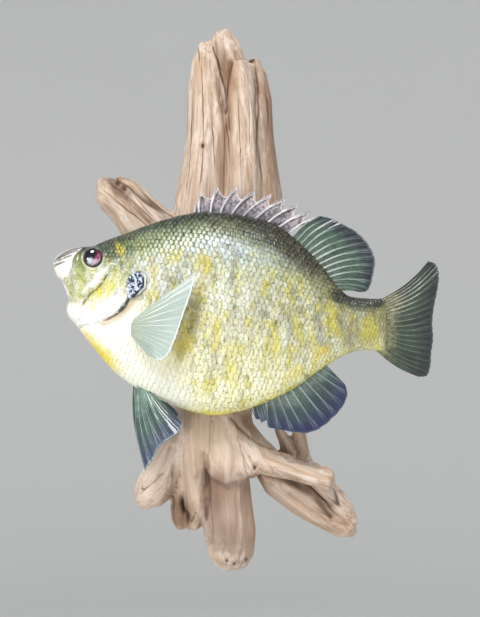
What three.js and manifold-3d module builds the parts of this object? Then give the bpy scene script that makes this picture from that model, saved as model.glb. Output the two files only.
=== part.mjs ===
// A mounted bluegill sunfish: the whole fish, life size, resting with its right
// side on one piece of driftwood that hangs on a wall.
//
// Millimetres. +Z is up, +X is to the right, the wall is the plane y = 0 and the
// room is on the -Y side. The origin is on the driftwood's flat back, behind the
// fish. The fish shows its left side, head to the left and a little raised.

import * as THREE from "three";
import { mergeVertices } from "three/addons/utils/BufferGeometryUtils.js";
import Module from "manifold-3d";

const wasm = await Module();
wasm.setup();

// ---- Driving dimensions -----------------------------------------------------

const GAP = 0.35; // clearance between neighbouring pieces
const FAR = 400; // further than any point of the model
const MERGE_DISTANCE = 1e-4;

const FISH_PLANE = -66; // the fish's middle plane, measured from the wall
const SNOUT_X = -123.4;
const TAIL_BASE_X = 98;
const BODY_AROUND = 24;
const BODY_ALONG = 27;
const BALL_ACROSS = 14;
const BALL_DOWN = 9;
const STATION_CROWDING = 1.45; // above 1 the rings stand closer at the snout

// The body's outline and sections, each as [x, size] pairs along the fish.
const BACK_Z = [
  [-123.4, 33], [-121, 35.5], [-116, 38.6], [-106, 41], [-97, 41.6], [-88, 45.2],
  [-78, 48.8], [-59, 56], [-40, 61.6], [-26, 64], [-12, 63.4], [4, 61], [21, 56.6],
  [30, 51.6], [38, 45], [54, 28.6], [66, 13], [71, 9], [80, 7.2], [98, 7],
];
const BELLY_Z = [
  [-123.4, 27], [-122, 22.6], [-118, 16.8], [-113.6, 6], [-110.6, -7], [-104.6, -17],
  [-94, -30], [-84, -41.4], [-68, -53], [-45, -64], [-29, -69.2], [-17, -70.8],
  [1, -68], [18, -62], [36, -53], [56, -39], [72, -30], [88, -28], [98, -31],
];
const WIDEST_Z = [[-123.4, 30], [-112, 20], [-97, 10], [-60, 8], [-28, 4], [20, -1], [60, -7], [98, -11]];
const HALF_WIDTH = [
  [-123.4, 3.6], [-121.5, 6.2], [-117, 9], [-110, 12], [-97, 15.8], [-80, 19.8], [-62, 22],
  [-40, 22.5], [-10, 21], [20, 16.4], [45, 11], [66, 7.2], [84, 5.4], [98, 4],
];
// Power of the section's width: below 1 is full and square, above 1 is keeled.
const BACK_KEEL = [[-123.4, 0.9], [-97, 0.68], [-80, 0.85], [-50, 1.08], [0, 1.15], [98, 1]];
const BELLY_KEEL = [[-123.4, 0.9], [-97, 0.9], [-60, 0.82], [0, 0.86], [60, 1], [98, 1]];

const GILL_STEP = 1.3; // the gill cover's edge stands this far off the trunk
const GILL_DEPTH = 9; // the gill covers start this far from the middle plane
const EYE = { x: -96.2, z: 33.2, radius: 7, fromMiddle: 7 };
const THROAT = { x: -102.6, z: -0.6, length: 12, width: 12.5, height: 11 };
const EAR_FLAP = { x: -67.2, z: 15, long: 9.4, short: 6, tilt: 64, over: 1.75, thick: 0.9 };
const EAR_FLAP_SIDES = 18;

// Cuts between the pieces of the body, as outlines in x and z, anticlockwise.
const TAIL_STEM_CUT = [[65, -FAR], [FAR, -FAR], [FAR, FAR], [69, FAR], [66.5, -10]];
const HEAD_CUT = [
  [-FAR, 100], [-FAR, -12], [-112, -10.6], [-102, -10.8], [-94, -9], [-87, -6.2], [-81, -3.2],
  [-77, 0.4], [-73.4, 5], [-70, 12], [-70, 20], [-75, 27], [-78.6, 36], [-84, 48], [-90, 100],
];
const GILL_CUT = [
  [-101.4, 3.4], [-97, -4.6], [-93, -8.4], [-87, -6], [-81, -2.9], [-77, 0.7], [-73.6, 5.2],
  [-70.2, 12], [-70.2, 19.8], [-75.2, 26.6], [-83, 27], [-86.4, 23],
];
const THROAT_CUT = [[-FAR, 4.4], [-FAR, -FAR], [-60, -FAR], [-90, -9], [-98, -3], [-102, 4.4]];
const UPPER_LIP_CUT = [
  [-FAR, 32], [-123, 29], [-113.4, 33.4], [-110.4, 35], [-105.2, 40], [-104, 60], [-FAR, 60],
];
const LOWER_JAW_CUT = [
  [-FAR, 31], [-FAR, 4.6], [-110.4, 4.6], [-111.6, 12], [-109, 20], [-109.6, 24.5], [-110.4, 34],
  [-113.4, 33], [-123, 28.6],
];

// Fins. A spine is [x of its foot, length, lean from the vertical in degrees].
const FIN_THICK_ROOT = 1.7;
const FIN_THICK_EDGE = 0.8;
const RIPPLE = 0.9; // depth of the waves at a soft fin's edge
const RIPPLE_WAVES = 3;
const DORSAL_SPINES = [
  [-28, 7.4, -2], [-25, 13, 3], [-18.5, 18, 12], [-12, 21, 29], [-4.6, 22.4, 44], [3.4, 24, 52],
  [11.5, 24, 56], [20, 22.4, 60], [27, 21.6, 65], [33.2, 21, 61],
];
const ANAL_SPINES = [[7.6, 8.4, 156], [11, 12, 163], [15, 14, 165]];
const SPINE_RADIUS = 1.05;
const SPINE_TAPER = 0.3; // the tip's radius as a part of the foot's
const SPINE_SIDES = 5;
const SPINE_BURIED = 5; // each spine and its web start this deep in the body
const WEB_TOP = 0.93; // the web reaches this part of each spine's length
const WEB_DIP = 0.62; // the web between two spines stands this part of their height

// Body outlines of the fins' edges as [x, z], from the first ray to the last.
const SOFT_DORSAL_ROOT = [[38.4, 43.4], [48, 33], [58, 21], [66.4, 11]];
const SOFT_DORSAL_EDGE = [
  [56.6, 61], [61, 59.4], [67, 56.2], [76.7, 50.9], [83, 45], [87.4, 38], [89.3, 31.4], [88.6, 25],
  [86.6, 16], [83.6, 11.4], [79, 10.8],
];
const ANAL_ROOT = [[7.6, -62], [11, -61.6], [15, -61], [28, -56], [44, -46], [57, -37]];
const ANAL_EDGE = [
  [18.6, -78.4], [26, -80.2], [36, -81.8], [45, -82.2], [54, -78.6], [61, -72.8], [66.4, -67],
  [70.8, -58], [69.8, -51], [66, -46.6],
];
const TAIL_ROOT = [[96.4, 7], [97.6, -2], [97.2, -12], [95, -21], [90.6, -28.4]];
const TAIL_EDGE = [
  [124.6, 31.4], [129.2, 29.6], [131.4, 23], [130.4, 12], [128.4, 1], [127.2, -10], [127.6, -20],
  [126.6, -29], [126, -38], [123.4, -44.4], [118, -45.2],
];
const PELVIC_ROOT = [[-67.4, -50], [-59.4, -54]];
const PELVIC_EDGE = [
  [-61.4, -104.6], [-56.4, -98], [-53, -90.6], [-45.6, -84.2], [-39.4, -79.6], [-37.4, -74.6], [-40.4, -70],
];
const PELVIC_SPREAD = 14; // the left fin's edge stands this much further out than its foot
const PELVIC_RIGHT_SPREAD = 3;
const PELVIC_RIGHT_SHIFT = new THREE.Vector3(-3.4, 0, 3);
const PELVIC_BOW = 3.4; // the first ray bulges forward this far
const PELVIC_FOOT = 7; // the fin's foot, out from the middle plane

// A pectoral fin is a fan about its foot: [angle above the horizontal, ray length].
const PECTORAL_FOOT = { x: -67.6, z: -12.6, halfHeight: 4.6, sunk: 2, ahead: 3 };
const PECTORAL_RAYS = [
  [42, 53.6], [32, 43], [13, 32], [-6, 28], [-22, 27], [-38, 27.4], [-50, 26], [-60, 21], [-68, 13],
];
const PECTORAL_STAND_OFF = 16; // how far the open left fin swings off the flank
const FOLDED_TURN = -74; // the right fin is turned down, to lie along the belly
const FOLDED_STAND_OFF = 1.5;
const FOLDED_FAN = 0.34; // and it is closed to this part of its open angle

// ---- Driftwood --------------------------------------------------------------

const LIMB_SIDES = 10;
const HEART_TOP = 58; // cuts hidden behind the fish
const HEART_FOOT = -60;

// Each stave is a list of stations: [x, z, half width, half depth, y].
const SPIRE_STAVES = [
  [[-25, 185, 3, 5, -21], [-24, 172, 9.6, 12, -20], [-24, 146, 12.6, 17, -19],
    [-22, 121, 15, 20, -19], [-25, 88, 18, 23, -20], [-27, 58, 22, 25, -20], [-26, 40, 24, 25, -20]],
  [[-12, 193, 4, 6, -22], [-10, 181, 10.4, 13, -21], [-4.4, 165, 12, 17, -21], [0, 145, 13.4, 20, -21],
    [2.4, 121, 12.6, 22, -22], [4, 92, 13.6, 25, -24], [4, 62, 16, 26, -23], [2, 40, 18, 26, -23]],
  [[10.4, 174.4, 2.8, 5, -18], [12.4, 163, 6, 10, -17], [15.6, 145, 7, 14, -17],
    [16.2, 121, 7.2, 16, -17], [18.4, 100, 7.6, 18, -18], [20.8, 76, 9, 20, -18], [18, 40, 12, 22, -18]],
];
const BRANCH_STAVES = [
  [[-95, 84, 9, 11, -20], [-88.6, 79, 12.4, 15, -20], [-78.6, 71, 15, 17, -19], [-67, 59, 18, 19, -19],
    [-50, 40, 22, 20, -19], [-34, 24, 22, 20, -20]],
  [[-84.6, 88.6, 4.4, 8, -24], [-76.6, 83.2, 7, 11, -24], [-68.3, 71.6, 9.4, 13, -24], [-60, 61, 12, 16, -23],
    [-42, 46, 14, 18, -22]],
];
const HEART_STAVES = [
  [[-26, 66, 22, 25, -20], [-27, 20, 24, 27, -21], [-24, -30, 22, 27, -22], [-30, -74, 17, 26, -22]],
  [[8, 66, 18, 26, -22], [4, 20, 22, 28, -22], [0, -30, 22, 28, -23], [-12, -74, 19, 28, -23]],
];
const LEFT_ROOT = [
  [-33, -56, 14, 22, -20], [-36, -80, 9.6, 22, -20], [-44.6, -100, 13, 20, -19], [-54, -117, 15, 18, -18],
  [-63, -129, 12, 15, -17], [-70, -135, 6.4, 10, -16],
];
const RIDGE_ROOT = [
  [-33, -56, 10, 28, -23], [-33, -84, 9, 29, -24], [-30.6, -112, 8.6, 27, -24], [-28, -132, 8, 22, -24],
  [-28, -142, 5.4, 13, -24],
];
const CENTRE_ROOT = [
  [-14, -56, 21, 27, -22], [-11, -86, 21, 27, -22], [-10, -116, 17, 25, -22], [-9, -136, 17, 24, -22],
  [-7, -156, 18.6, 23, -21], [-6, -170, 15.6, 19, -20], [-5.4, -179, 10, 12, -19],
];
const NUB = [[-29, -128, 7, 14, -20], [-32, -143, 7, 12, -20], [-32.4, -153, 4.6, 8, -20]];
const ARM_ROOT = [
  [-10, -56, 15, 22, -26], [-6, -80, 13, 22, -27], [8, -98, 13, 20, -30], [22, -105.6, 9, 14, -36],
  [38, -109.6, 7.2, 10, -40], [50, -114.2, 6.2, 8.6, -42], [56, -115.8, 7, 8, -42],
  [60.6, -116.6, 3.6, 5, -42],
];
const STUB_ROOT = [
  [-41, -124, 5, 9, -16], [-43, -138, 5.6, 9, -16], [-43, -148, 4.8, 7, -16], [-41.6, -154, 2.6, 4, -16],
];
const LOW_ROOT_STAVES = [
  [[16, -104, 11, 13, -15], [28, -118, 15, 16, -15], [46, -133, 13.6, 16, -16], [62, -144.6, 11, 14, -16],
    [73, -152.6, 8, 11, -15], [80, -157.4, 3.6, 6, -14]],
  [[48, -112, 8, 12, -17], [61, -127, 9, 13, -18], [71, -140, 8, 12, -17], [79.4, -151, 4, 8, -16]],
  [[25.6, -83, 2.4, 4, -17], [31.4, -93, 4.6, 8, -17], [38, -106, 6.2, 10, -17], [46, -122, 8, 12, -17]],
  [[38, -70, 3, 5, -16], [41, -86, 4.6, 8, -16], [44, -104, 5.4, 10, -16], [50, -122, 7, 12, -16]],
];
const LUMPS = 0.05; // swellings along the wood, as a part of its radius

// Cuts that part the driftwood at its forks, as outlines in x and z.
const BRANCH_CUT = [[-FAR, 30], [-58, 30], [-50, 52], [-49, 73], [-60, 110], [-FAR, 110]];
const LEFT_ROOT_CUT = [
  [-FAR, HEART_FOOT], [-FAR, -200], [-42, -200], [-37, -120], [-42, -90], [-48, -72], [-49, HEART_FOOT],
];
const ARM_CUT = [
  [8, HEART_FOOT], [9, -90], [4, -100], [5.6, -114.4], [10, -130], [FAR, -130], [FAR, HEART_FOOT],
];
const NUB_CUT = [
  [-60, -134], [-60, -200], [-27, -200], [-24, -160], [-25.6, -147], [-34, -140], [-36.4, -134],
];

// ---- Finishes ---------------------------------------------------------------

const finish = (color, roughness, metalness = 0) =>
  new THREE.MeshStandardMaterial({ color, roughness, metalness });
const FINISHES = {
  skin: finish(0xb4b060, 0.35),
  pale: finish(0xe6e0b8, 0.35),
  fin: finish(0x5d7468, 0.35),
  flap: finish(0x1d2638, 0.25),
  glass: finish(0x5a1420, 0.05),
  wood: finish(0xb48f6c, 0.85),
};

// ---- Making shapes ----------------------------------------------------------

// A smooth function through [position, value] pairs.
function curveThrough(pairs) {
  const positions = pairs.map((pair) => pair[0]);
  const values = pairs.map((pair) => pair[1]);
  const cubic = new THREE.CubicInterpolant(positions, values, 1);
  const [first, last] = [positions[0], positions[positions.length - 1]];
  return (position) => cubic.evaluate(THREE.MathUtils.clamp(position, first, last))[0];
}

// The geometry with every vertex moved to where place(vertex) says.
function warped(geometry, place) {
  const position = geometry.getAttribute("position");
  const vertex = new THREE.Vector3();
  for (let i = 0; i < position.count; i++) {
    const moved = place(vertex.fromBufferAttribute(position, i));
    position.setXYZ(i, moved.x, moved.y, moved.z);
  }
  return geometry;
}

// A closed geometry as a solid, turned right side out where a warp mirrored it.
function solid(geometry) {
  geometry.deleteAttribute("normal");
  geometry.deleteAttribute("uv");
  const merged = mergeVertices(geometry, MERGE_DISTANCE);
  const vertProperties = new Float32Array(merged.getAttribute("position").array);
  const triVerts = new Uint32Array(merged.index.array);
  const made = new wasm.Manifold(new wasm.Mesh({ numProp: 3, vertProperties, triVerts }));
  if (made.volume() > 0) return made;
  triVerts.reverse();
  return new wasm.Manifold(new wasm.Mesh({ numProp: 3, vertProperties, triVerts }));
}

const union = (solids) => solids.reduce((sum, next) => sum.add(next));

// The main body of a cut solid, without the slivers that a cut can leave beside it.
const mainBody = (made) =>
  made.decompose().reduce((best, next) => (next.volume() > best.volume() ? next : best));

function mesh(name, made, material) {
  const { vertProperties, triVerts } = mainBody(made).getMesh();
  const geometry = new THREE.BufferGeometry();
  geometry.setAttribute("position", new THREE.BufferAttribute(vertProperties, 3));
  geometry.setIndex(new THREE.BufferAttribute(triVerts, 1));
  geometry.computeVertexNormals();
  const part = new THREE.Mesh(geometry, material);
  part.name = name;
  return part;
}

// An anticlockwise outline moved outwards by a distance, or inwards if negative.
function offset(outline, distance) {
  return outline.map((corner, i) => {
    const before = outline[(i + outline.length - 1) % outline.length];
    const after = outline[(i + 1) % outline.length];
    const here = new THREE.Vector2(...corner);
    const incoming = here.clone().sub(new THREE.Vector2(...before)).normalize();
    const outgoing = new THREE.Vector2(...after).sub(here).normalize();
    const normal = new THREE.Vector2(incoming.y + outgoing.y, -incoming.x - outgoing.x);
    normal.multiplyScalar(distance / (1 + incoming.dot(outgoing)));
    return [corner[0] + normal.x, corner[1] + normal.y];
  });
}

// A straight prism through the model along Y, from an outline in x and z.
function prism(outline, yFrom = -FAR, yTo = FAR) {
  const shape = new THREE.Shape(outline.map((corner) => new THREE.Vector2(...corner)));
  const geometry = new THREE.ExtrudeGeometry(shape, { depth: yTo - yFrom, bevelEnabled: false });
  return solid(geometry.rotateX(Math.PI / 2).translate(0, yTo, 0));
}

// Parts a solid with a thin cut round an outline: what is inside it, and the rest.
function carve(whole, outline, yFrom = -FAR, yTo = FAR) {
  const anticlockwise = THREE.ShapeUtils.area(outline.map(([x, y]) => ({ x, y }))) > 0;
  const ring = anticlockwise ? outline : [...outline].reverse();
  const inside = whole.intersect(prism(offset(ring, -GAP / 2), yFrom, yTo));
  const outside = whole.subtract(prism(offset(ring, GAP / 2), yFrom - GAP, yTo + GAP));
  return [inside, outside];
}

function ellipsoid(centre, radii) {
  const geometry = new THREE.SphereGeometry(1, BALL_ACROSS, BALL_DOWN);
  return solid(geometry.scale(radii.x, radii.y, radii.z).translate(centre.x, centre.y, centre.z));
}

// ---- The fish's flesh -------------------------------------------------------

const backZ = curveThrough(BACK_Z);
const bellyZ = curveThrough(BELLY_Z);
const widestZ = curveThrough(WIDEST_Z);
const halfWidth = curveThrough(HALF_WIDTH);
const backKeel = curveThrough(BACK_KEEL);
const bellyKeel = curveThrough(BELLY_KEEL);

// The body from snout to tail base, as one loft of keeled oval sections.
function body(swell) {
  const geometry = new THREE.CylinderGeometry(1, 1, 1, BODY_AROUND, BODY_ALONG);
  const place = ({ x: up, y: along, z: out }) => {
    const x = THREE.MathUtils.lerp(SNOUT_X, TAIL_BASE_X, (along + 0.5) ** STATION_CROWDING);
    const height = up > 0 ? backZ(x) - widestZ(x) : widestZ(x) - bellyZ(x);
    const keel = up > 0 ? backKeel(x) : bellyKeel(x);
    const width = (halfWidth(x) + swell) * Math.sign(out) * Math.abs(out) ** keel;
    return new THREE.Vector3(x, FISH_PLANE + width, widestZ(x) + up * (height + swell));
  };
  return solid(warped(geometry, place));
}

function makeFlesh() {
  const throat = ellipsoid(
    { x: THROAT.x, y: FISH_PLANE, z: THROAT.z },
    { x: THROAT.length, y: THROAT.width, z: THROAT.height },
  );
  const gills = body(GILL_STEP).intersect(prism(GILL_CUT));
  let whole = union([body(0), throat, gills]);
  for (const side of [-1, 1]) whole = whole.subtract(eyeball(side, GAP));

  const pieces = {};
  let rest = whole;
  [pieces.tail_stem, rest] = carve(rest, TAIL_STEM_CUT);
  [rest, pieces.trunk] = carve(rest, HEAD_CUT);
  [pieces.gill_cover_left, rest] = carve(rest, GILL_CUT, -FAR, FISH_PLANE - GILL_DEPTH);
  [pieces.gill_cover_right, rest] = carve(rest, GILL_CUT, FISH_PLANE + GILL_DEPTH, FAR);
  [pieces.upper_lip, rest] = carve(rest, UPPER_LIP_CUT);
  [pieces.lower_jaw, rest] = carve(rest, LOWER_JAW_CUT);
  [pieces.throat, pieces.head] = carve(rest, THROAT_CUT);
  return pieces;
}

// An eye's glass ball, half sunk in its socket.
function eyeball(side, swell = 0) {
  const radius = EYE.radius + swell;
  const y = FISH_PLANE + side * EYE.fromMiddle;
  return ellipsoid({ x: EYE.x, y, z: EYE.z }, { x: radius, y: radius, z: radius });
}

// The dark tab on the gill cover's corner, a thin layer that follows the flank.
function earFlap(side) {
  const tilt = THREE.MathUtils.degToRad(EAR_FLAP.tilt);
  const { x: centreX, z: centreZ, long, short } = EAR_FLAP;
  const oval = new THREE.EllipseCurve(centreX, centreZ, long, short, 0, 2 * Math.PI, false, tilt);
  const outline = oval.getSpacedPoints(EAR_FLAP_SIDES).slice(1).map(({ x, y }) => [x, y]);
  const depths = [FISH_PLANE + side * GILL_DEPTH, side * FAR].sort((a, b) => a - b);
  const layer = body(EAR_FLAP.over + EAR_FLAP.thick).subtract(body(EAR_FLAP.over));
  return layer.intersect(prism(outline, ...depths));
}

// ---- Fins -------------------------------------------------------------------

// A thin sheet ruled from a root line to an edge line, both Vector3 lists. The bow
// moves it sideways, and its first ray may swing forward between its ends.
function finSheet(root, edge, across, along, bow, swing = 0) {
  const rootCurve = new THREE.CatmullRomCurve3(root, false, "centripetal");
  const edgeCurve = new THREE.CatmullRomCurve3(edge, false, "centripetal");
  const geometry = new THREE.BoxGeometry(1, 1, 1, across, 1, along);
  const place = ({ x, y, z }) => {
    const [u, v] = [x + 0.5, z + 0.5];
    const thick = THREE.MathUtils.lerp(FIN_THICK_ROOT, FIN_THICK_EDGE, v);
    const point = rootCurve.getPoint(u).lerp(edgeCurve.getPoint(u), v);
    const forward = swing * (1 - u) * Math.sin(v * Math.PI);
    return point.add(new THREE.Vector3(-forward, y * thick + bow(u, v), 0));
  };
  return solid(warped(geometry, place));
}

const flat = (outline, y = FISH_PLANE) => outline.map(([x, z]) => new THREE.Vector3(x, y, z));

// The point that is a part of the way up a fin spine, from its foot on the body.
function alongSpine([footX, length, lean], outlineZ, part) {
  const angle = THREE.MathUtils.degToRad(lean);
  const foot = new THREE.Vector3(footX, FISH_PLANE, outlineZ(footX));
  return foot.addScaledVector(new THREE.Vector3(Math.sin(angle), 0, Math.cos(angle)), part * length);
}

// A tapered spine, from its buried foot to its tip.
function spine(one, outlineZ) {
  const buried = alongSpine(one, outlineZ, -SPINE_BURIED / one[1]);
  const tip = alongSpine(one, outlineZ, 1);
  const direction = tip.clone().sub(buried).normalize();
  const across = new THREE.Vector3(direction.z, 0, -direction.x);
  const geometry = new THREE.CylinderGeometry(SPINE_TAPER, 1, 1, SPINE_SIDES, 1);
  const place = ({ x, y, z }) => {
    const centre = buried.clone().lerp(tip, y + 0.5);
    const out = new THREE.Vector3(0, z * SPINE_RADIUS, 0);
    return centre.addScaledVector(across, x * SPINE_RADIUS).add(out);
  };
  return solid(warped(geometry, place));
}

const spines = (list, outlineZ) => list.map((one) => spine(one, outlineZ));

// The web's edge: up to each spine's tip, and down in a dip before the next.
function webEdge(list, outlineZ) {
  return list.flatMap((one, i) => {
    const top = alongSpine(one, outlineZ, WEB_TOP);
    if (i === list.length - 1) return [top];
    const low = alongSpine(one, outlineZ, WEB_DIP);
    const nextLow = alongSpine(list[i + 1], outlineZ, WEB_DIP);
    return [top, low.lerp(nextLow, 0.5)];
  });
}

// Soft fins wave a little between their rays, more towards the edge.
const ripple = (u, v) => RIPPLE * v * v * Math.sin(u * RIPPLE_WAVES * 2 * Math.PI);

function spinyDorsal() {
  const root = DORSAL_SPINES.map((one) => alongSpine(one, backZ, -SPINE_BURIED / one[1]));
  const steps = 3 * (DORSAL_SPINES.length - 1);
  const web = finSheet(root, webEdge(DORSAL_SPINES, backZ), steps, 1, () => 0);
  return union([web, ...spines(DORSAL_SPINES, backZ)]);
}

function analFin() {
  const edge = [...webEdge(ANAL_SPINES, bellyZ), ...flat(ANAL_EDGE)];
  const web = finSheet(flat(ANAL_ROOT), edge, 18, 2, ripple);
  return union([web, ...spines(ANAL_SPINES, bellyZ)]);
}

const softDorsal = () => finSheet(flat(SOFT_DORSAL_ROOT), flat(SOFT_DORSAL_EDGE), 14, 2, ripple);
const tailFin = () => finSheet(flat(TAIL_ROOT), flat(TAIL_EDGE), 16, 2, ripple);

// The right pelvic fin sits a little ahead of the left one and closer in.
function pelvicFin(side, spread, shift) {
  const y = FISH_PLANE + side * PELVIC_FOOT;
  const place = (outline) => flat(outline, y).map((point) => point.add(shift));
  const bow = (u, v) => side * spread * v + ripple(u, v);
  return finSheet(place(PELVIC_ROOT), place(PELVIC_EDGE), 10, 3, bow, PELVIC_BOW);
}

function pectoralFin(side, turn, fan, standOff) {
  const y = FISH_PLANE + side * (halfWidth(PECTORAL_FOOT.x) - PECTORAL_FOOT.sunk);
  const last = PECTORAL_RAYS.length - 1;
  const middle = (PECTORAL_RAYS[0][0] + PECTORAL_RAYS[last][0]) / 2;
  const root = PECTORAL_RAYS.map((ray, i) => {
    const up = PECTORAL_FOOT.halfHeight * (1 - (2 * i) / last);
    return new THREE.Vector3(PECTORAL_FOOT.x - PECTORAL_FOOT.ahead, y, PECTORAL_FOOT.z + up);
  });
  const edge = PECTORAL_RAYS.map(([angle, length]) => {
    const turned = THREE.MathUtils.degToRad(middle + (angle - middle) * fan + turn);
    const [x, z] = [length * Math.cos(turned), length * Math.sin(turned)];
    return new THREE.Vector3(PECTORAL_FOOT.x + x, y + side * standOff, PECTORAL_FOOT.z + z);
  });
  return finSheet(root, edge, 12, 3, ripple);
}

// ---- Driftwood --------------------------------------------------------------

// A tapering limb through its stations, lumpy and blunt at the ends.
function limb(stations, swell) {
  const first = stations[0];
  const path = new THREE.CatmullRomCurve3(stations.map(([x, z, , , y]) => new THREE.Vector3(x, y, z)));
  const wide = curveThrough(stations.map((station, i) => [i, station[2]]));
  const deep = curveThrough(stations.map((station, i) => [i, station[3]]));
  const last = stations.length - 1;
  const geometry = new THREE.CylinderGeometry(1, 1, 1, LIMB_SIDES, last);
  const place = ({ x, y, z }) => {
    const t = y + 0.5;
    const tangent = path.getTangent(t);
    const side = tangent.clone().cross(new THREE.Vector3(0, 1, 0)).normalize();
    const out = side.clone().cross(tangent);
    const angle = Math.atan2(z, x);
    const lump = 1 + LUMPS * Math.sin(3 * angle + 9 * t) * Math.sin(5 * angle - 14 * t + first[0]);
    return path
      .getPoint(t)
      .addScaledVector(side, x * (wide(t * last) * lump + swell))
      .addScaledVector(out, z * (deep(t * last) * lump + swell));
  };
  return solid(warped(geometry, place));
}

function makeWood() {
  const acrossFrom = (low, high) => [[-FAR, low], [FAR, low], [FAR, high], [-FAR, high]];
  const room = prism(acrossFrom(-FAR, FAR), -FAR, 0);
  const staves = [
    ...SPIRE_STAVES, ...BRANCH_STAVES, ...HEART_STAVES, LEFT_ROOT, RIDGE_ROOT, CENTRE_ROOT, NUB, ARM_ROOT,
  ];
  const main = (swell) => union(staves.map((stave) => limb(stave, swell)));
  const seat = body(GAP);
  const pieces = {};
  let rest = main(0).intersect(room).subtract(seat);
  [pieces.wood_branch, rest] = carve(rest, BRANCH_CUT);
  [pieces.wood_spire, rest] = carve(rest, acrossFrom(HEART_TOP, FAR));
  [rest, pieces.wood_heart] = carve(rest, acrossFrom(-FAR, HEART_FOOT));
  [pieces.wood_root_left, rest] = carve(rest, LEFT_ROOT_CUT);
  [pieces.wood_root_arm, rest] = carve(rest, ARM_CUT);
  [pieces.wood_root_nub, pieces.wood_root_centre] = carve(rest, NUB_CUT);

  const neighbours = main(GAP);
  const behind = (hidden) =>
    union(hidden.map((stave) => limb(stave, 0))).intersect(room).subtract(neighbours);
  pieces.wood_root_stub = behind([STUB_ROOT]);
  pieces.wood_root_low = behind(LOW_ROOT_STAVES);
  return pieces;
}

// ---- The model --------------------------------------------------------------

const model = new THREE.Group();
model.name = "mounted_sunfish";

const flesh = makeFlesh();
const PALE = ["upper_lip", "lower_jaw", "throat"];
for (const [name, made] of Object.entries(flesh)) {
  model.add(mesh(name, made, PALE.includes(name) ? FINISHES.pale : FINISHES.skin));
}

const skinAround = body(GAP);
const fins = {
  dorsal_fin_spiny: spinyDorsal(),
  dorsal_fin_soft: softDorsal(),
  anal_fin: analFin(),
  tail_fin: tailFin(),
  pelvic_fin_left: pelvicFin(-1, PELVIC_SPREAD, new THREE.Vector3()),
  pelvic_fin_right: pelvicFin(1, PELVIC_RIGHT_SPREAD, PELVIC_RIGHT_SHIFT),
  pectoral_fin_left: pectoralFin(-1, 0, 1, PECTORAL_STAND_OFF),
  pectoral_fin_right: pectoralFin(1, FOLDED_TURN, FOLDED_FAN, FOLDED_STAND_OFF),
};
for (const [name, made] of Object.entries(fins)) {
  model.add(mesh(name, made.subtract(skinAround), FINISHES.fin));
}

for (const [side, word] of [[-1, "left"], [1, "right"]]) {
  model.add(mesh("eye_" + word, eyeball(side), FINISHES.glass));
  model.add(mesh("ear_flap_" + word, earFlap(side), FINISHES.flap));
}

for (const [name, made] of Object.entries(makeWood())) {
  model.add(mesh(name, made, FINISHES.wood));
}

export default model;
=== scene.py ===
"""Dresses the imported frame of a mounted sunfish: skin, scales, eyes, fins and driftwood.

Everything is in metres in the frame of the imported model. +Z is up, the wall is the
plane y = 0 and the room is on the -Y side. The fish shows its left side, head to
the left. Run it as a script: it registers its operators, calls them in order and
leaves a finished scene.
"""

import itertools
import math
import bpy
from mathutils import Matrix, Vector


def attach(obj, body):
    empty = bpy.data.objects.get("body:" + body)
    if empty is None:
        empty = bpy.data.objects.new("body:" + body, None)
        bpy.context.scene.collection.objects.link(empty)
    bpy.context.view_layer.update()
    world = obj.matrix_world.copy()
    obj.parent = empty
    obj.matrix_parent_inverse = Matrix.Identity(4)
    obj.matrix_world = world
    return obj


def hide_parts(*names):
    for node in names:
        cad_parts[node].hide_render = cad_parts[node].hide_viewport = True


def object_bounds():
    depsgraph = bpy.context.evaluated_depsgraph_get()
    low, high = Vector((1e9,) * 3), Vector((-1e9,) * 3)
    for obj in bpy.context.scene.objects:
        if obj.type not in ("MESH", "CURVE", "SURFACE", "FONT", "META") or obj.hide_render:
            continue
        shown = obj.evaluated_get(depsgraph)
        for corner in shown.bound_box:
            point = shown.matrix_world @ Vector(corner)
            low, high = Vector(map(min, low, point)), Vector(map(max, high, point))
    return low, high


bl_info = {
    "name": "Mounted Sunfish",
    "version": (1, 0, 0),
    "blender": (4, 5, 0),
    "location": "View3D > Sidebar > Sunfish",
    "description": "Skin, scales, eyes, fins and driftwood for a mounted sunfish",
    "category": "Add Mesh",
}

import bmesh
import bpy
import numpy as np
from bpy.props import FloatProperty, FloatVectorProperty, PointerProperty
from mathutils import Matrix, Vector

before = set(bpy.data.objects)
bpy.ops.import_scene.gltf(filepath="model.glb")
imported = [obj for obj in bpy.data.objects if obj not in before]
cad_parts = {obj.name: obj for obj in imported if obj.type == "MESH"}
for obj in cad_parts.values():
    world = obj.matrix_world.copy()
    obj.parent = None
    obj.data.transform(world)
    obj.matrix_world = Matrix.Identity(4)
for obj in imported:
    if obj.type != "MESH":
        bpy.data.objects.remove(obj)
CAD_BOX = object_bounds()

MM = 0.001

# ---- The fish's shape --------------------------------------------------------
# Lengths in these tables are millimetres, as [x, size] along the fish.

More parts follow.
